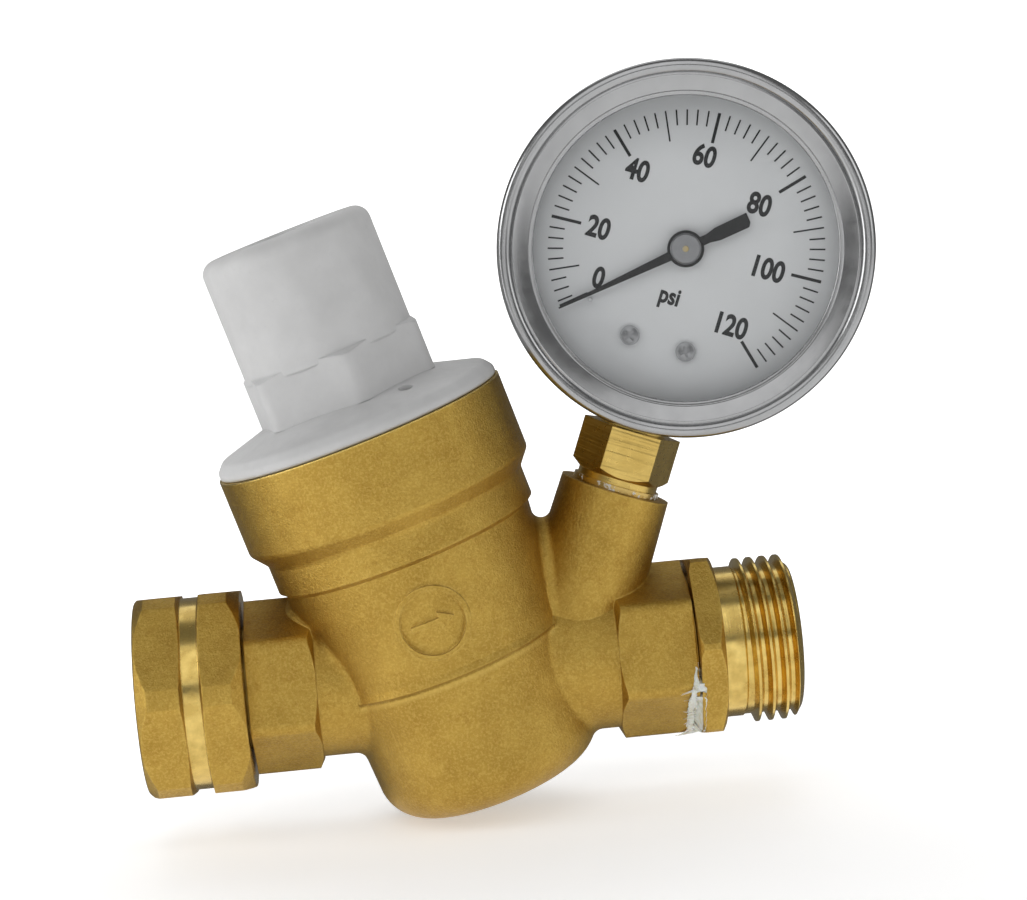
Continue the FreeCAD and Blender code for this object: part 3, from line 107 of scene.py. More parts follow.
class Shade:
    """A Principled material and short ways to add nodes to it."""

    def __init__(self, name, **settings):
        self.material = bpy.data.materials.new(name)
        self.material.use_nodes = True
        self.tree = self.material.node_tree
        self.shader = self.tree.nodes["Principled BSDF"]
        for socket, number in settings.items():
            self.shader.inputs[socket.replace("_", " ")].default_value = number
        self.coords = self.add("ShaderNodeTexCoord").outputs["Object"]

    def add(self, kind, **settings):
        made = self.tree.nodes.new(kind)
        for key, number in settings.items():
            setattr(made, key, number)
        return made

    def wire(self, source, socket):
        if isinstance(source, (int, float, tuple)):
            socket.default_value = source
        else:
            self.tree.links.new(source, socket)

    def calc(self, operation, *values, clamp=False):
        made = self.add("ShaderNodeMath", operation=operation, use_clamp=clamp)
        for value, socket in zip(values, made.inputs):
            self.wire(value, socket)
        return made.outputs[0]

    def vector(self, operation, *values):
        made = self.add("ShaderNodeVectorMath", operation=operation)
        for value, socket in zip(values, made.inputs):
            self.wire(value, socket)
        return made.outputs["Value" if operation in ("DOT_PRODUCT", "LENGTH") else "Vector"]

    def noise(self, grain, detail=2.0, rough=0.5, coords=None):
        """Noise whose blobs are about this many metres across."""
        made = self.add("ShaderNodeTexNoise")
        self.wire(coords or self.coords, made.inputs["Vector"])
        made.inputs["Scale"].default_value = 1 / grain
        made.inputs["Detail"].default_value = detail
        made.inputs["Roughness"].default_value = rough
        return made.outputs["Fac"]

    def ramp(self, value, low, high, start=0.0, end=1.0):
        """Value mapped from low..high to start..end, held at both ends."""
        made = self.add("ShaderNodeMapRange", clamp=True)
        for number, socket in zip((value, low, high, start, end), made.inputs):
            self.wire(number, socket)
        return made.outputs[0]

    def mix(self, value, first, second):
        made = self.add("ShaderNodeMix", data_type="RGBA")
        for number, socket in ((value, made.inputs[0]), (first, made.inputs[6]), (second, made.inputs[7])):
            self.wire(number, socket)
        return made.outputs[2]

    def stretched(self, scale):
        """Coordinates multiplied along each axis."""
        return self.vector("MULTIPLY", self.coords, scale)

    def distance(self, point, axis):
        """The distance of a point of the surface from a line."""
        from_point = self.vector("SUBTRACT", self.coords, tuple(point))
        return self.vector("LENGTH", self.vector("CROSS_PRODUCT", from_point, tuple(axis)))

    def height(self, point, axis):
        from_point = self.vector("SUBTRACT", self.coords, tuple(point))
        return self.vector("DOT_PRODUCT", from_point, tuple(axis))

    def edges(self, width):
        """One on edges and corners sharper than a radius, zero on the open faces."""
        soft = self.add("ShaderNodeBevel", samples=6)
        soft.inputs["Radius"].default_value = width
        flat = self.add("ShaderNodeNewGeometry").outputs["Normal"]
        return self.ramp(self.vector("DOT_PRODUCT", soft.outputs[0], flat), 0.99, 0.90, 0.0, 1.0)

    def colour(self, source):
        self.wire(source, self.shader.inputs["Base Color"])

    def roughness(self, source):
        self.wire(source, self.shader.inputs["Roughness"])

    def bumps(self, *layers, edge=0.0):
        """Stacked bump layers, each (height, depth in metres), over edges softened to a radius."""
        normal = None
        if edge:
            soft = self.add("ShaderNodeBevel", samples=6)
            soft.inputs["Radius"].default_value = edge
            normal = soft.outputs[0]
        for height, depth in layers:
            made = self.add("ShaderNodeBump")
            made.inputs["Distance"].default_value = depth
            self.wire(height, made.inputs["Height"])
            if normal is not None:
                self.wire(normal, made.inputs["Normal"])
            normal = made.outputs[0]
        self.wire(normal, self.shader.inputs["Normal"])


FORGED = (0.52, 0.335, 0.070, 1)
FORGED_DULL = (0.40, 0.245, 0.046, 1)
# the stain tone also makes the painted shadow along the bowl's ridge; the bright tone below serves bright
# specks, edge wear and painted highlights
FORGED_STAIN_AND_SHADOW = (0.36, 0.20, 0.035, 1)
FORGED_WORN_AND_HIGHLIGHT = (0.70, 0.49, 0.13, 1)
CUT = (0.80, 0.59, 0.19, 1)
CUT_DULL = (0.62, 0.43, 0.12, 1)


def forged_layers(shade, pits=0.12):
    """Colour, roughness and bumps of a blasted brass forging, its edges and creases lighter in patches:
    partly wear, partly painted highlight.
    """
    mottle = shade.ramp(shade.noise(7 * MM, 4, 0.6), 0.32, 0.68)
    speck = shade.ramp(shade.noise(0.40 * MM, 3, 0.7), 0.46, 0.62)
    stain = shade.ramp(shade.noise(1.4 * MM, 3, 0.7), 0.56, 0.70)
    tone = shade.mix(mottle, FORGED_DULL, FORGED)
    tone = shade.mix(shade.calc("MULTIPLY", stain, 0.55), tone, FORGED_STAIN_AND_SHADOW)
    tone = shade.mix(shade.calc("MULTIPLY", speck, 0.42), tone, FORGED_WORN_AND_HIGHLIGHT)
    # edges and creases lighter in patches: partly wear, partly painted highlight where their rounds catch
    # the light
    worn_and_lit = shade.calc("MULTIPLY", shade.edges(0.7 * MM), shade.ramp(shade.noise(1.5 * MM, 2), 0.35, 0.6))
    tone = shade.mix(shade.calc("MULTIPLY", worn_and_lit, 0.6), tone, FORGED_WORN_AND_HIGHLIGHT)
    rough = shade.ramp(shade.noise(1.2 * MM, 3), 0.3, 0.7, 0.34, 0.46)
    layers = [(shade.noise(3.0 * MM, 3), 0.06 * MM), (shade.noise(0.35 * MM, 3, 0.7), pits * MM)]
    return tone, rough, layers


RIDGE_HEIGHT = 2.6 * MM


def forged_brass():
    """Body: forged all over, with a ridge round the bowl, a painted shadow along the ridge's step and a
    painted highlight just below it, and the collar's top edge turned bright.
    """
    shade = Shade("forged_body", Metallic=1.0)
    tone, rough, layers = forged_layers(shade, 0.14)
    above = shade.height(CROSS, BONNET)
    near_bowl = shade.ramp(shade.distance(CROSS, BONNET), 19.95 * MM, 20.25 * MM, 1.0, 0.0)
    step = shade.ramp(above, RIDGE_HEIGHT - 0.45 * MM, RIDGE_HEIGHT)
    lip = shade.ramp(above, RIDGE_HEIGHT, RIDGE_HEIGHT + 1.3 * MM, 1.0, 0.0)
    ridge = shade.calc("MULTIPLY", shade.calc("MULTIPLY", step, lip), near_bowl)
    # painted shadow: a dark line along the ridge's step, where the chamber's lip overhangs the bowl
    shadow = shade.ramp(above, RIDGE_HEIGHT - 0.35 * MM, RIDGE_HEIGHT - 0.05 * MM)
    shadow_end = shade.ramp(above, RIDGE_HEIGHT, RIDGE_HEIGHT + 0.2 * MM, 1.0, 0.0)
    shadow = shade.calc("MULTIPLY", shadow, shadow_end)
    shadow = shade.calc("MULTIPLY", shadow, near_bowl)
    tone = shade.mix(shade.calc("MULTIPLY", shadow, 0.8), tone, FORGED_STAIN_AND_SHADOW)
    # painted highlight: a bright line on the bowl just below the ridge, standing in for the light caught by
    # its fillet
    glint = shade.ramp(above, RIDGE_HEIGHT - 1.5 * MM, RIDGE_HEIGHT - 0.9 * MM)
    glint_end = shade.ramp(above, RIDGE_HEIGHT - 0.7 * MM, RIDGE_HEIGHT - 0.4 * MM, 0.5, 0.0)
    glint = shade.calc("MULTIPLY", glint, glint_end)
    tone = shade.mix(shade.calc("MULTIPLY", glint, near_bowl), tone, FORGED_WORN_AND_HIGHLIGHT)
    top = reach("valve_body", BONNET)[1] - CROSS.dot(BONNET)
    bright = shade.ramp(above, top - 0.25 * MM, top - 0.1 * MM)
    shade.colour(shade.mix(bright, tone, CUT))
    shade.roughness(shade.ramp(bright, 0.0, 1.0, rough, 0.22))
    shade.bumps((ridge, 0.35 * MM), *layers, edge=0.3 * MM)
    return shade.material


def part_turned(name, turned_r, edge):
    """A forged hexagon whose parts inside a radius from the run are turned bright."""
    shade = Shade(name, Metallic=1.0)
    tone, rough, layers = forged_layers(shade)
    away = shade.distance(Vector(), RUN)
    turned = shade.ramp(away, turned_r, turned_r + 0.1 * MM, 1.0, 0.0)
    rings = shade.noise(0.16 * MM, 2, coords=shade.stretched((1, 0.015, 0.015)))
    smear = shade.ramp(shade.noise(2.5 * MM, 3), 0.35, 0.65)
    shade.colour(shade.mix(turned, tone, shade.mix(smear, CUT, CUT_DULL)))
    shade.roughness(shade.ramp(turned, 0.0, 1.0, rough, shade.ramp(smear, 0.0, 1.0, 0.17, 0.28)))
    keep = shade.calc("SUBTRACT", 1.0, turned)
    pits = shade.calc("MULTIPLY", layers[1][0], keep)
    shade.bumps((pits, layers[1][1]), (shade.calc("MULTIPLY", rings, turned), 0.02 * MM), edge=edge * MM)
    return shade.material


def turned_brass(name, axis_scale, rough=0.2, colour=CUT):
    """Machined brass with fine rings round one axis."""
    shade = Shade(name, Metallic=1.0)
    rings = shade.noise(0.2 * MM, 2, coords=shade.stretched(axis_scale))
    stain = shade.ramp(shade.noise(4 * MM, 2), 0.35, 0.7)
    shade.colour(shade.mix(stain, colour, CUT_DULL))
    shade.roughness(shade.ramp(shade.noise(1.5 * MM, 2), 0.3, 0.7, rough, rough + 0.1))
    shade.bumps((rings, 0.012 * MM), edge=0.15 * MM)
    return shade.material


def socket_brass():
    """Gauge stem: milled hexagon, its flats gently rippled across the stem by the cutter."""
    shade = Shade("socket_brass", Metallic=1.0)
    level = shade.height(DIAL_CENTRE, DIAL_UP)
    across = shade.add("ShaderNodeCombineXYZ")
    shade.wire(level, across.inputs[2])
    drift = shade.vector("MULTIPLY", shade.coords, (0.03, 0.03, 0.0))
    ripple = shade.noise(0.55 * MM, 1, coords=shade.vector("ADD", across.outputs[0], drift))
    stain = shade.ramp(shade.noise(4.0 * MM, 2), 0.35, 0.7)
    shade.colour(shade.mix(stain, (0.70, 0.50, 0.15, 1), (0.58, 0.40, 0.11, 1)))
    shade.roughness(shade.ramp(shade.noise(0.8 * MM, 2), 0.3, 0.7, 0.26, 0.36))
    shade.bumps((ripple, 0.14 * MM), (shade.noise(0.3 * MM), 0.008 * MM), edge=0.2 * MM)
    return shade.material


def moulded(name, colour, rough, depth=0.02, edge=0.3, **settings):
    """Moulded plastic or rubber with a fine even grain and faint marks."""
    shade = Shade(name, **settings)
    cloud = shade.ramp(shade.noise(6 * MM, 4), 0.3, 0.7)
    scuff = shade.ramp(shade.noise(1.1 * MM, 4, 0.7), 0.60, 0.75)
    darker = tuple(part * 0.90 for part in colour[:3]) + (1,)
    marked = tuple(part * 0.86 for part in colour[:3]) + (1,)
    tone = shade.mix(cloud, colour, darker)
    shade.colour(shade.mix(shade.calc("MULTIPLY", scuff, 0.5), tone, marked))
    shade.roughness(shade.ramp(shade.noise(1.5 * MM, 2), 0.3, 0.7, rough, rough + 0.1))
    shade.bumps((shade.noise(3 * MM, 2), depth * MM), (shade.noise(0.2 * MM, 2), depth * 0.4 * MM),
                edge=edge * MM)
    return shade.material


def steel(name, colour, rough, rings=None, depth=0.004, centre=None, axis=None, streak=0.0):
    """Steel, with turning marks round an axis where one is given, which streak its gloss."""
    shade = Shade(name, Metallic=1.0, Anisotropic=streak)
    grain = shade.noise(0.4 * MM, 3)
    if axis is not None:
        from_centre = shade.vector("SUBTRACT", shade.coords, tuple(centre))
        round_axis = shade.vector("NORMALIZE", shade.vector("CROSS_PRODUCT", tuple(axis), from_centre))
        shade.wire(round_axis, shade.shader.inputs["Tangent"])
        away = shade.distance(centre, axis)
        across = shade.add("ShaderNodeCombineXYZ")
        shade.wire(away, across.inputs[0])
        shade.wire(shade.height(centre, axis), across.inputs[1])
        grain = shade.noise(rings, 2, coords=across.outputs[0])
    smear = shade.ramp(shade.noise(5 * MM, 3), 0.3, 0.7)
    darker = tuple(part * 0.9 for part in colour[:3]) + (1,)
    shade.colour(shade.mix(smear, colour, darker))
    shade.roughness(shade.ramp(shade.noise(2 * MM, 3), 0.3, 0.7, rough, rough + 0.07))
    shade.bumps((grain, depth * MM))
    return shade.material


def clear_window():
    """A thin clear window: it lets light straight through and only its gloss shows."""
    shade = Shade("clear_window")
    tree = shade.tree
    clear = shade.add("ShaderNodeBsdfTransparent")
    clear.inputs[0].default_value = (0.97, 0.975, 0.975, 1)
    gloss = shade.add("ShaderNodeBsdfGlossy")
    dust = shade.noise(3 * MM, 4)
    shade.wire(shade.ramp(dust, 0.3, 0.7, 0.03, 0.08), gloss.inputs["Roughness"])
    fresnel = shade.add("ShaderNodeFresnel")
    fresnel.inputs[0].default_value = 1.3
    both = shade.add("ShaderNodeMixShader")
    outer_side = shade.calc("SUBTRACT", 1.0, shade.add("ShaderNodeNewGeometry").outputs["Backfacing"])
    shade.wire(shade.calc("MULTIPLY", fresnel.outputs[0], outer_side), both.inputs[0])
    tree.links.new(clear.outputs[0], both.inputs[1])
    tree.links.new(gloss.outputs[0], both.inputs[2])
    tree.links.new(both.outputs[0], tree.nodes["Material Output"].inputs[0])
    return shade.material


def painted(name, colour, rough):
    """Flat paint or print with a fine tooth."""
    shade = Shade(name)
    tooth = shade.noise(0.25 * MM, 2)
    cloud = shade.ramp(shade.noise(7 * MM, 3), 0.3, 0.7)
    darker = tuple(part * 0.96 for part in colour[:3]) + (1,)
    shade.colour(shade.mix(cloud, colour, darker))
    shade.roughness(shade.ramp(tooth, 0.3, 0.7, rough, rough + 0.08))
    shade.bumps((tooth, 0.004 * MM))
    return shade.material


TAPE = (0.80, 0.79, 0.74, 1)


def tape_fabric():
    """Crumpled thread tape, a little soiled."""
    shade = Shade("thread_tape", Subsurface_Weight=0.15, Subsurface_Scale=0.0004)
    folds = shade.noise(0.35 * MM, 3, coords=shade.stretched((2.5, 0.6, 0.6)))
    grime = shade.ramp(shade.noise(1.0 * MM, 2), 0.45, 0.75)
    shade.colour(shade.mix(grime, TAPE, (0.62, 0.56, 0.40, 1)))
    shade.roughness(shade.ramp(folds, 0.3, 0.7, 0.45, 0.65))
    shade.bumps((folds, 0.1 * MM))
    return shade.material


def taped_thread(name, cover, brass):
    """Screwed-up thread in which tape shows only here and there; cover is low where it doesn't."""
    shade = Shade(name)
    patches = shade.noise(0.9 * MM, 3, 0.6)
    taped = shade.ramp(shade.calc("ADD", patches, cover(shade)), 0.60, 0.66)
    shade.colour(shade.mix(taped, brass, TAPE))
    shade.wire(shade.calc("SUBTRACT", 1.0, taped), shade.shader.inputs["Metallic"])
    shade.roughness(shade.ramp(taped, 0.0, 1.0, 0.3, 0.6))
    shade.bumps((patches, 0.1 * MM))
    return shade.material


def low_side(shade):
    """Tape squeezed out only at the bottom, on the side that faces the reader."""
    turn = shade.height(Vector(), Vector((0, -0.45, -1)))
    return shade.ramp(turn, 3 * MM, 8 * MM, -0.4, 0.35)


def here_and_there(shade):
    return shade.ramp(shade.noise(3 * MM, 1), 0.45, 0.60, -0.15, 0.08)


# ---------------------------------------------------------------- painting the CAD nodes

def turned_hub():
    """Pointer hub: a dark rim round a turned grey face."""
    shade = Shade("hub_paint")
    away = shade.distance(DIAL_CENTRE, DIAL_OUT)
    face = shade.ramp(away, 2.5 * MM, 2.6 * MM, 1.0, 0.0)
    across = shade.add("ShaderNodeCombineXYZ")
    shade.wire(away, across.inputs[0])
    rings = shade.noise(0.12 * MM, 2, coords=across.outputs[0])
    grey = shade.mix(shade.ramp(rings, 0.35, 0.65), (0.34, 0.34, 0.35, 1), (0.24, 0.24, 0.25, 1))
    shade.colour(shade.mix(face, (0.02, 0.02, 0.02, 1), grey))
    shade.wire(shade.calc("MULTIPLY", face, 0.8), shade.shader.inputs["Metallic"])
    shade.roughness(shade.ramp(rings, 0.3, 0.7, 0.3, 0.4))
    shade.bumps((rings, 0.01 * MM))
    return shade.material


ZINC = (0.55, 0.55, 0.56, 1)
looks = {
    "body": forged_brass(),
    "nut": part_turned("forged_nut", 15.65 * MM, 0.35),
    "adapter": part_turned("adapter_brass", 13.52 * MM, 0.2),
    "socket": socket_brass(),
    "plain_brass": turned_brass("turned_brass_plain", (0.4, 0.4, 1), 0.26),
    "rubber": moulded("black_rubber", (0.025, 0.025, 0.025, 1), 0.55),
    "white": moulded("white_plastic", (0.60, 0.60, 0.598, 1), 0.48, 0.03, 0.45),
    "black_plastic": moulded("black_plastic", (0.03, 0.03, 0.03, 1), 0.4),
    "polished": steel("polished_steel", (0.42, 0.423, 0.427, 1), 0.2, 0.10 * MM, 0.004,
                      DIAL_CENTRE, DIAL_OUT, 0.4),
    "zinc": steel("zinc_plate", ZINC, 0.3),
    "case": steel("case_steel", (0.58, 0.58, 0.59, 1), 0.26, 0.2 * MM, 0.006,
                  DIAL_CENTRE, DIAL_OUT, 0.3),
    "spring": steel("spring_steel", (0.32, 0.32, 0.34, 1), 0.3),
    "bronze": steel("bronze", (0.55, 0.33, 0.14, 1), 0.3),
    "window": clear_window(),
    "dial": painted("dial_paint", (0.70, 0.704, 0.715, 1), 0.38),
    "black": painted("black_paint", (0.012, 0.012, 0.013, 1), 0.38),
    "hub": turned_hub(),
    # tailpiece brass darkened as painted shade: it shows only through the narrow gap behind the nut
    "tail": turned_brass("tailpiece_brass_painted_shade", (1, 0.02, 0.02), 0.4, (0.42, 0.28, 0.07, 1)),
    "arbor": turned_brass("arbor_brass", (0.4, 0.4, 1), 0.35, (0.42, 0.40, 0.34, 1)),
    "screws": steel("screw_zinc", (0.34, 0.34, 0.35, 1), 0.32),
    "tape": tape_fabric(),
    "outlet_joint": taped_thread("outlet_joint_thread", low_side, (0.30, 0.18, 0.04, 1)),
    "gauge_joint": taped_thread("gauge_joint_thread", here_and_there, (0.60, 0.43, 0.15, 1)),
}
NODE_LOOKS = {
    "valve_body": "body",
    "inlet_swivel_nut": "nut",
    "inlet_tailpiece": "tail",
    "inlet_washer": "rubber",
    "inlet_screen": "zinc",
    "outlet_adapter": "adapter",
    "outlet_thread_tape": "outlet_joint",
    "seat_ring": "plain_brass",
    "seat_seal": "rubber",
    "valve_stem": "plain_brass",
    "valve_disc": "rubber",
    "disc_retainer": "zinc",
    "diaphragm": "rubber",
    "diaphragm_washer": "plain_brass",
    "spring_seat": "plain_brass",
    "stem_nut": "plain_brass",
    "slip_ring": "black_plastic",
    "spring_housing": "white",
    "spring_button": "zinc",
    "adjusting_screw": "white",
    "range_spring": "spring",
    "gauge_socket": "socket",
    "gauge_thread_tape": "gauge_joint",
    "gauge_case": "case",
    "relief_plug": "rubber",
    "gauge_bezel": "polished",
    "window_gasket": "rubber",
    "gauge_window": "window",
    "gauge_dial": "dial",
    "stop_pin": "zinc",
    "dial_screws": "screws",
    "dial_posts": "plain_brass",
    "pointer": "black",
    "pointer_hub": "hub",
    "pinion_arbor": "arbor",
    "sector_gear": "plain_brass",
    "movement_link": "plain_brass",
    "movement_back_plate": "plain_brass",
    "movement_front_plate": "plain_brass",
    "movement_pillars": "plain_brass",
    "movement_screws": "zinc",
    "hairspring": "bronze",
    "bourdon_tube": "bronze",
    "tube_tip": "plain_brass",
}
for name, look in NODE_LOOKS.items():
    for holder in NODES[name].material_slots:
        holder.material = looks[look]


# ---------------------------------------------------------------- pieces

def piece(name, mesh, body, look):
    """A mesh made in the row frame, riding on a body."""
    made = bpy.data.objects.new(name, mesh)
    bpy.context.scene.collection.objects.link(made)
    mesh.materials.clear()
    mesh.materials.append(looks[look])
    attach(made, body)
    return made


def mesh_from(name, points, faces, where=None, smooth=True, crisp=math.radians(28)):
    """A mesh from points and faces, with its edges crisp above an angle."""
    mesh = bpy.data.meshes.new(name)
    mesh.from_pydata([tuple(point) for point in points], [], faces)
    if where is not None:
        mesh.transform(where)
    work = bmesh.new()
    work.from_mesh(mesh)
    bmesh.ops.recalc_face_normals(work, faces=work.faces)
    for face in work.faces:
        face.smooth = smooth
    for edge in work.edges:
        edge.smooth = len(edge.link_faces) != 2 or edge.calc_face_angle(0) < crisp
    work.to_mesh(mesh)
    work.free()
    return mesh


def lathe(name, outline, where, steps=180, crisp=math.radians(28)):
    """A closed outline of (radius, height) corners turned round the frame's Z."""
    count = len(outline)
    points, faces = [], []
    for step in range(steps):
        turn = 2 * math.pi * step / steps
        points += [(r * math.cos(turn), r * math.sin(turn), h) for r, h in outline]
        here, after = step * count, (step + 1) % steps * count
        for index in range(count):
            follow = (index + 1) % count
            faces.append((here + index, after + index, after + follow, here + follow))
    return mesh_from(name, points, faces, where, crisp=crisp)


def arc(centre, radius, start, end, steps=6):
    """Points of an arc in the (radius, height) plane, from one angle to another in degrees."""
    points = []
    for step in range(steps + 1):
        turn = math.radians(start + (end - start) * step / steps)
        points.append((centre[0] + radius * math.cos(turn), centre[1] + radius * math.sin(turn)))
    return points


def dial_polar(radius, degrees):
    turn = math.radians(degrees)
    return radius * math.cos(turn), radius * math.sin(turn)


# dial: the scale runs clockwise from the lower left to the lower right; its zero is drawn in,
# a little before the second small tick
FULL_SCALE = 120
SCALE_START = 227.6
SCALE_SWEEP = 270.0
TICK_OUT = 22.2 * MM
TICK_MINOR = 19.7 * MM
TICK_MAJOR = 17.3 * MM
FIRST_READING = 4
ZERO_TICK = 2.2
NUMBER_R = 14.4 * MM
WIDE_NUMBER_R = 13.7 * MM
NUMBER_TALL = 3.6 * MM
NUMBER_SHIFTS = {40: (-0.4 * MM, 0.2 * MM), 60: (-0.7 * MM, 0.7 * MM)}
ZERO_NUMBER = (14.7 * MM, 214.5)
UNIT_TALL = 3.6 * MM
UNIT_SPOT = (-0.3 * MM, -8.4 * MM)
LETTER_NARROW = 0.80
LETTER_BOLD = 0.032
MINOR_HALF = 0.13 * MM
MAJOR_HALF = 0.25 * MM
PRINT = 0.03 * MM


def scale_angle(reading):
    if reading == 0:
        return scale_angle(FIRST_READING) + ZERO_TICK
    return SCALE_START - SCALE_SWEEP * reading / FULL_SCALE


def dial_ticks():
    points, faces = [], []
    for reading in [0] + list(range(FIRST_READING, FULL_SCALE + 1, 2)):
        long_tick = reading % 10 == 0
        half = MAJOR_HALF if reading % 20 == 0 else MINOR_HALF
        inner = TICK_MAJOR if long_tick else TICK_MINOR
        turn = math.radians(scale_angle(reading))
        ray = Vector((math.cos(turn), math.sin(turn), 0))
        side = Vector((-ray.y, ray.x, 0)) * half
        low, high = Vector((0, 0, PRINT * 0.2)), Vector((0, 0, PRINT))
        first = len(points)
        for level in (low, high):
            points += [ray * inner - side + level, ray * TICK_OUT - side + level,
                       ray * TICK_OUT + side + level, ray * inner + side + level]
        for quad in ((0, 3, 2, 1), (4, 5, 6, 7), (0, 1, 5, 4), (1, 2, 6, 5), (2, 3, 7, 6), (3, 0, 4, 7)):
            faces.append([first + corner for corner in quad])
    mesh = mesh_from("dial_ticks", points, faces, DIAL_PLACE, smooth=False)
    piece("dial_ticks", mesh, "valve", "black")


def lettering(name, words, tall, x, y):
    """Printed characters, centred on (x, y) of the dial."""
    curve = bpy.data.curves.new(name, "FONT")
    curve.body = words
    curve.align_x, curve.align_y = "CENTER", "CENTER"
    curve.size = 1.0
    curve.offset = LETTER_BOLD
    curve.resolution_u = 6
    holder = bpy.data.objects.new(name, curve)
    bpy.context.scene.collection.objects.link(holder)
    bpy.context.view_layer.update()
    mesh = bpy.data.meshes.new_from_object(holder.evaluated_get(bpy.context.evaluated_depsgraph_get()))
    bpy.data.objects.remove(holder)
    ups = [vertex.co.y for vertex in mesh.vertices]
    rights = [vertex.co.x for vertex in mesh.vertices]
    scale = tall / (max(ups) - min(ups))
    middle = Vector(((max(rights) + min(rights)) / 2, (max(ups) + min(ups)) / 2, 0))
    shrink = Matrix.Diagonal((scale * LETTER_NARROW, scale, 1, 1))
    mesh.transform(DIAL_PLACE @ Matrix.Translation((x, y, PRINT)) @ shrink @ Matrix.Translation(-middle))
    mesh.name = name
    return mesh


def dial_numbers():
    for reading in range(0, FULL_SCALE + 1, 20):
        radius = WIDE_NUMBER_R if reading in (80, 100) else NUMBER_R
        degrees = scale_angle(reading)
        if reading == 0:
            radius, degrees = ZERO_NUMBER
        x, y = dial_polar(radius, degrees)
        shift_x, shift_y = NUMBER_SHIFTS.get(reading, (0, 0))
        mesh = lettering(f"dial_number_{reading}", str(reading), NUMBER_TALL, x + shift_x, y + shift_y)
        piece(f"dial_number_{reading}", mesh, "valve", "black")
    unit = lettering("dial_unit", "psi", UNIT_TALL, *UNIT_SPOT)
    piece("dial_unit", unit, "valve", "black")


def bezel_ring():
    """The rolled ring, finely turned, in place of the CAD ring's straight facets."""
    low, high = reach("gauge_bezel", DIAL_OUT)
    base = low - DIAL_CENTRE.dot(DIAL_OUT)
    top = high - DIAL_CENTRE.dot(DIAL_OUT)
    outer = spread("gauge_bezel", DIAL_CENTRE, DIAL_OUT) - 0.05 * MM
    roll = 1.15 * MM
    outline = [(28.35 * MM, base), (outer - 0.5 * MM, base), (outer, base + 0.8 * MM)]
    outline += arc((outer - roll, top - roll), roll, 0, 150, 14)
    outline += [(27.72 * MM, top - 0.62 * MM), (27.50 * MM, top - 0.52 * MM)]
    outline += arc((27.30 * MM, top - 0.85 * MM), 0.36 * MM, 60, 105, 3)
    outline += [(24.95 * MM, top - 1.45 * MM), (24.85 * MM, top - 1.62 * MM), (24.60 * MM, top - 1.62 * MM)]
    outline += arc((24.45 * MM, top - 1.90 * MM), 0.25 * MM, 80, 180, 4)
    outline += [(24.17 * MM, top - 2.75 * MM), (27.1 * MM, top - 2.75 * MM), (28.35 * MM, top - 2.45 * MM)]
    mesh = lathe("bezel_ring", outline, DIAL_PLACE, 240)
    made = piece("bezel_ring", mesh, "valve", "polished")
    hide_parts("gauge_bezel")


def solid_around(*names):
    """The surface of some CAD nodes, to lay things on."""
    points, faces = [], []
    for name in names:
        mesh = NODES[name].data
        first = len(points)
        points += [vertex.co.copy() for vertex in mesh.vertices]
        faces += [[first + index for index in face.vertices] for face in mesh.polygons]
    return BVHTree.FromPolygons(points, faces)


def lay(surface, x, turn, proud):
    """A point above the surface, seen from the run at a height x along it and an angle round it."""
    ray = Vector((0, math.cos(turn), math.sin(turn)))
    hit = surface.ray_cast(Vector((x, 0, 0)) + ray * 0.04, -ray)[0]
    return hit + ray * proud


def ribbon(path, widths, thick):
    """Points and faces of a thin strip along a path of (x, turn, proud) places."""
    points, faces = [], []
    for step, ((x, turn, proud), wide) in enumerate(zip(path, widths)):
        for level in (0, thick):
            for side in (-0.5, 0, 0.5):
                lifted = proud + level + (0.0 if side else random.uniform(0.0, 0.10) * MM)
                points.append(lay(JOINT_SURFACE, x + side * wide, turn, lifted))
        if step:
            low, high = 6 * step - 6, 6 * step
            for index in (0, 1, 3, 4):
                quad = (low + index, low + index + 1, high + index + 1, high + index)
                faces.append(quad)
            for index in (0, 2):
                faces.append((low + index, high + index, high + index + 3, low + index + 3))
    last = 6 * len(path) - 6
    for end in (0, last):
        faces += [(end, end + 1, end + 4, end + 3), (end + 1, end + 2, end + 5, end + 4)]
    return points, faces


def tape_frays():
    """Thread tape squeezed out of the outlet joint, low on the reader's side, and its loose ends."""
    lip = reach("outlet_thread_tape", RUN)[0] - 0.35 * MM
    points, faces = [], []

    def add(path, widths, thick):
        more_points, more_faces = ribbon(path, widths, thick)
        first = len(points)
        points.extend(more_points)
        faces.extend([first + corner for corner in face] for face in more_faces)

    # the band, from about mid-height on the reader's side to just past the bottom
    steps, first_turn, last_turn = 60, 184, 292
    for layer in range(3):
        path, widths = [], []
        for step in range(steps + 1):
            share = step / steps
            turn = math.radians(first_turn + (last_turn - first_turn) * share + 6 * layer)
            wander = 0.25 * math.sin(9 * share + 2 * layer) + random.uniform(-0.10, 0.10)
            path.append((lip + (wander - 0.30 * layer) * MM, turn, (0.05 + 0.09 * layer) * MM))
            taper = min(1.0, 6 * share + 0.1, 6 * (1 - share) + 0.1)
            widths.append((2.3 - 0.4 * layer + random.uniform(-0.3, 0.3)) * taper * MM)
        add(path, widths, 0.05 * MM)
    # loose ends, each tapering to a point away from the joint
    for _ in range(16):
        turn = math.radians(random.uniform(190, 268))
        lean = math.radians(random.uniform(-9, 14))
        long = random.uniform(1.4, 3.2) * MM
        wide = random.uniform(0.4, 1.2) * MM
        path, widths = [], []
        for step in range(9):
            share = step / 8
            path.append((lip - long * share, turn + lean * share, (0.15 + 0.25 * share) * MM))
            widths.append(wide * (1 - share) + 0.04 * MM)
        add(path, widths, 0.05 * MM)
    mesh = mesh_from("tape_frays", points, faces)
    piece("tape_frays", mesh, "valve", "tape")


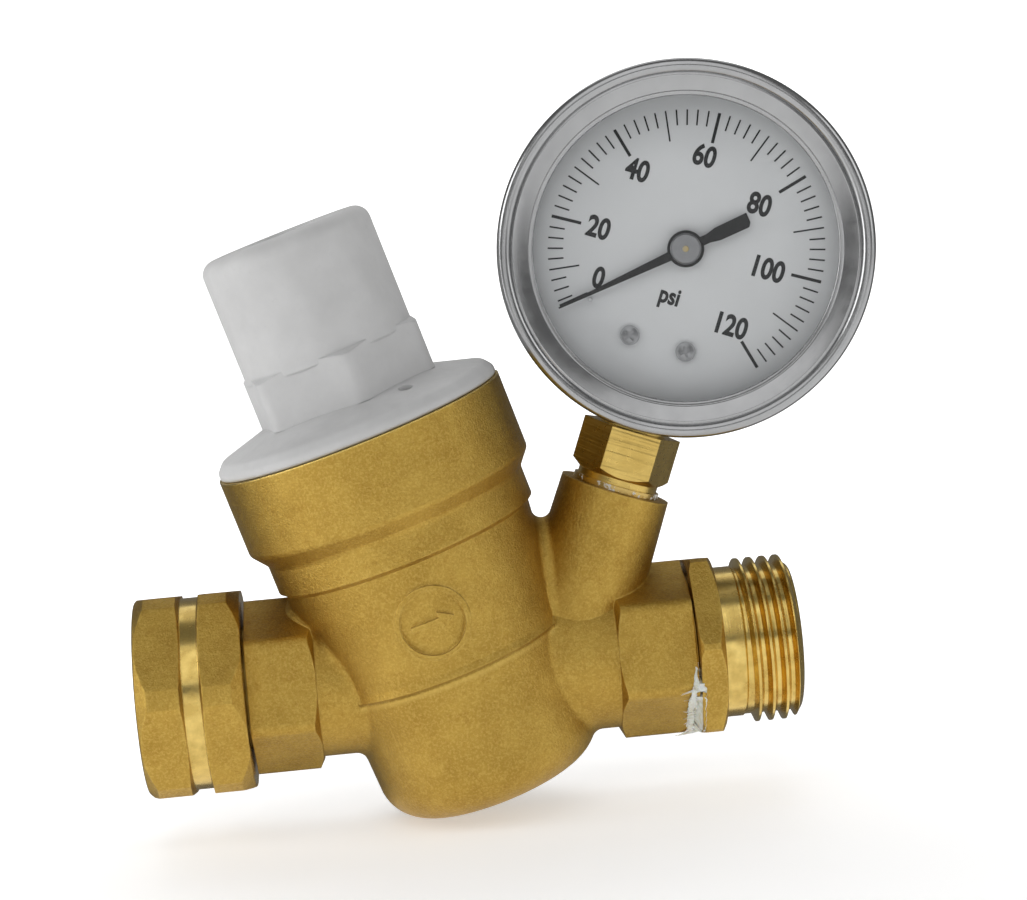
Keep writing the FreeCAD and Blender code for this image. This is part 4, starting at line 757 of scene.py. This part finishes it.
JOINT_SURFACE = solid_around("valve_body", "outlet_adapter", "outlet_thread_tape")
dial_ticks()
dial_numbers()
bezel_ring()
tape_frays()


# ---------------------------------------------------------------- stage

AIM = CROSS + Vector((0.01, 0, 0.03))
# metres to the right of, below and ahead of the lens at which the two axes cross
LENS_TO_CROSS = Vector((-0.00935, 0.0355856, 0.425))
SENSOR = 36
FOCAL = 91.139
PALE = (0.86, 0.86, 0.86, 1)
DIM_GLOW = 0.22
BRIGHT_GLOW = 0.42
BACK_GLOW = 0.40


def softbox(name, azimuth, elevation, distance, wide, tall, power):
    """A rectangular light aimed at the valve; azimuth 0 is the camera's side, positive to its right."""
    turn, rise = math.radians(azimuth), math.radians(elevation)
    away = Vector((math.sin(turn) * math.cos(rise), -math.cos(turn) * math.cos(rise), math.sin(rise)))
    light = bpy.data.lights.new(name, "AREA")
    light.shape = "RECTANGLE"
    light.size, light.size_y = wide, tall
    light.energy = power
    holder = bpy.data.objects.new(name, light)
    holder.location = AIM + away * distance
    holder.rotation_euler = away.to_track_quat("Z", "Y").to_euler()
    bpy.context.scene.collection.objects.link(holder)


def paper(name, profile, look, mirrored):
    """A strip of backdrop paper along the scene; unmirrored paper stays out of the metals' gloss."""
    low = cad_box[0][2] - 0.5 * MM
    points = [(x, y, low + z) for y, z in profile for x in (-2.0, 2.1)]
    faces = [(2 * i, 2 * i + 1, 2 * i + 3, 2 * i + 2) for i in range(len(profile) - 1)]
    mesh = mesh_from(name, points, faces, crisp=math.radians(60))
    mesh.materials.append(look)
    made = bpy.data.objects.new(name, mesh)
    made.visible_glossy = mirrored
    bpy.context.scene.collection.objects.link(made)


def backdrop():
    """A pale floor that curves up behind the valve, glowing softly from just in front of it."""
    shade = Shade("floor_paper", Emission_Color=(1, 1, 1, 1))
    back = shade.height(Vector(), Vector((0, 1, 0)))
    glow = shade.calc("ADD", shade.ramp(back, -0.45, -0.06, DIM_GLOW, BRIGHT_GLOW),
                      shade.ramp(back, 0.0, 0.12, 0.0, BACK_GLOW))
    shade.wire(glow, shade.shader.inputs["Emission Strength"])
    shade.colour(shade.mix(shade.noise(0.2, 2), PALE, (0.84, 0.84, 0.84, 1)))
    shade.roughness(shade.ramp(shade.noise(0.01, 2), 0.3, 0.7, 0.7, 0.8))
    near, start, radius = 0.0, 0.35, 0.5
    curve = [(start + radius * math.sin(math.radians(a)), radius - radius * math.cos(math.radians(a)))
             for a in range(0, 91, 10)]
    paper("floor", [(-1.5, 0.0), (near, 0.0)], shade.material, True)
    paper("backdrop", [(near, 0.0)] + curve + [(start + radius, 2.2)], shade.material, False)


def camera():
    """The front view: from a little above and to the left, rolled by a few degrees."""
    pitch, yaw, roll = math.radians(7.24), math.radians(3.03), math.radians(4.95)
    spin = Matrix.Rotation(yaw, 3, "Z")
    nod = Matrix.Rotation(pitch, 3, "X")
    flip = Matrix(((1, 0, 0), (0, 0, -1), (0, 1, 0)))
    tilt = Matrix.Rotation(-roll, 3, "Z")
    turn = tilt @ flip @ nod @ spin
    eye = CROSS - turn.transposed() @ LENS_TO_CROSS
    right, down, forward = turn[0], turn[1], turn[2]
    view = bpy.data.cameras.new("view")
    view.sensor_width = SENSOR
    view.lens = FOCAL
    view.clip_start = 0.01
    holder = bpy.data.objects.new("view", view)
    holder.matrix_world = Matrix.Translation(eye) @ Matrix((right, -down, -forward)).transposed().to_4x4()
    bpy.context.scene.collection.objects.link(holder)
    bpy.context.scene.camera = holder


def lighting():
    softbox("key", -15, 45, 0.85, 0.80, 0.75, 1.75)
    softbox("left", -80, 12, 0.75, 0.35, 0.60, 2.2)
    softbox("right", 62, 22, 0.75, 0.35, 0.55, 0.9)
    softbox("low", -5, 2, 0.85, 0.80, 0.20, 0.45)
    softbox("back", 175, 55, 0.85, 0.60, 0.50, 0.8)
    world = bpy.data.worlds.new("studio")
    world.use_nodes = True
    tree = world.node_tree
    room = tree.nodes["Background"]
    room.inputs[1].default_value = 0.16
    pale = tree.nodes.new("ShaderNodeBackground")
    pale.inputs[0].default_value = PALE
    seen = tree.nodes.new("ShaderNodeLightPath")
    both = tree.nodes.new("ShaderNodeMixShader")
    room.inputs[0].default_value = (1, 1, 1, 1)
    tree.links.new(seen.outputs["Is Camera Ray"], both.inputs[0])
    tree.links.new(room.outputs[0], both.inputs[1])
    tree.links.new(pale.outputs[0], both.inputs[2])
    tree.links.new(both.outputs[0], tree.nodes["World Output"].inputs[0])
    bpy.context.scene.world = world
    bpy.context.scene.view_settings.view_transform = "Standard"


backdrop()
camera()
lighting()
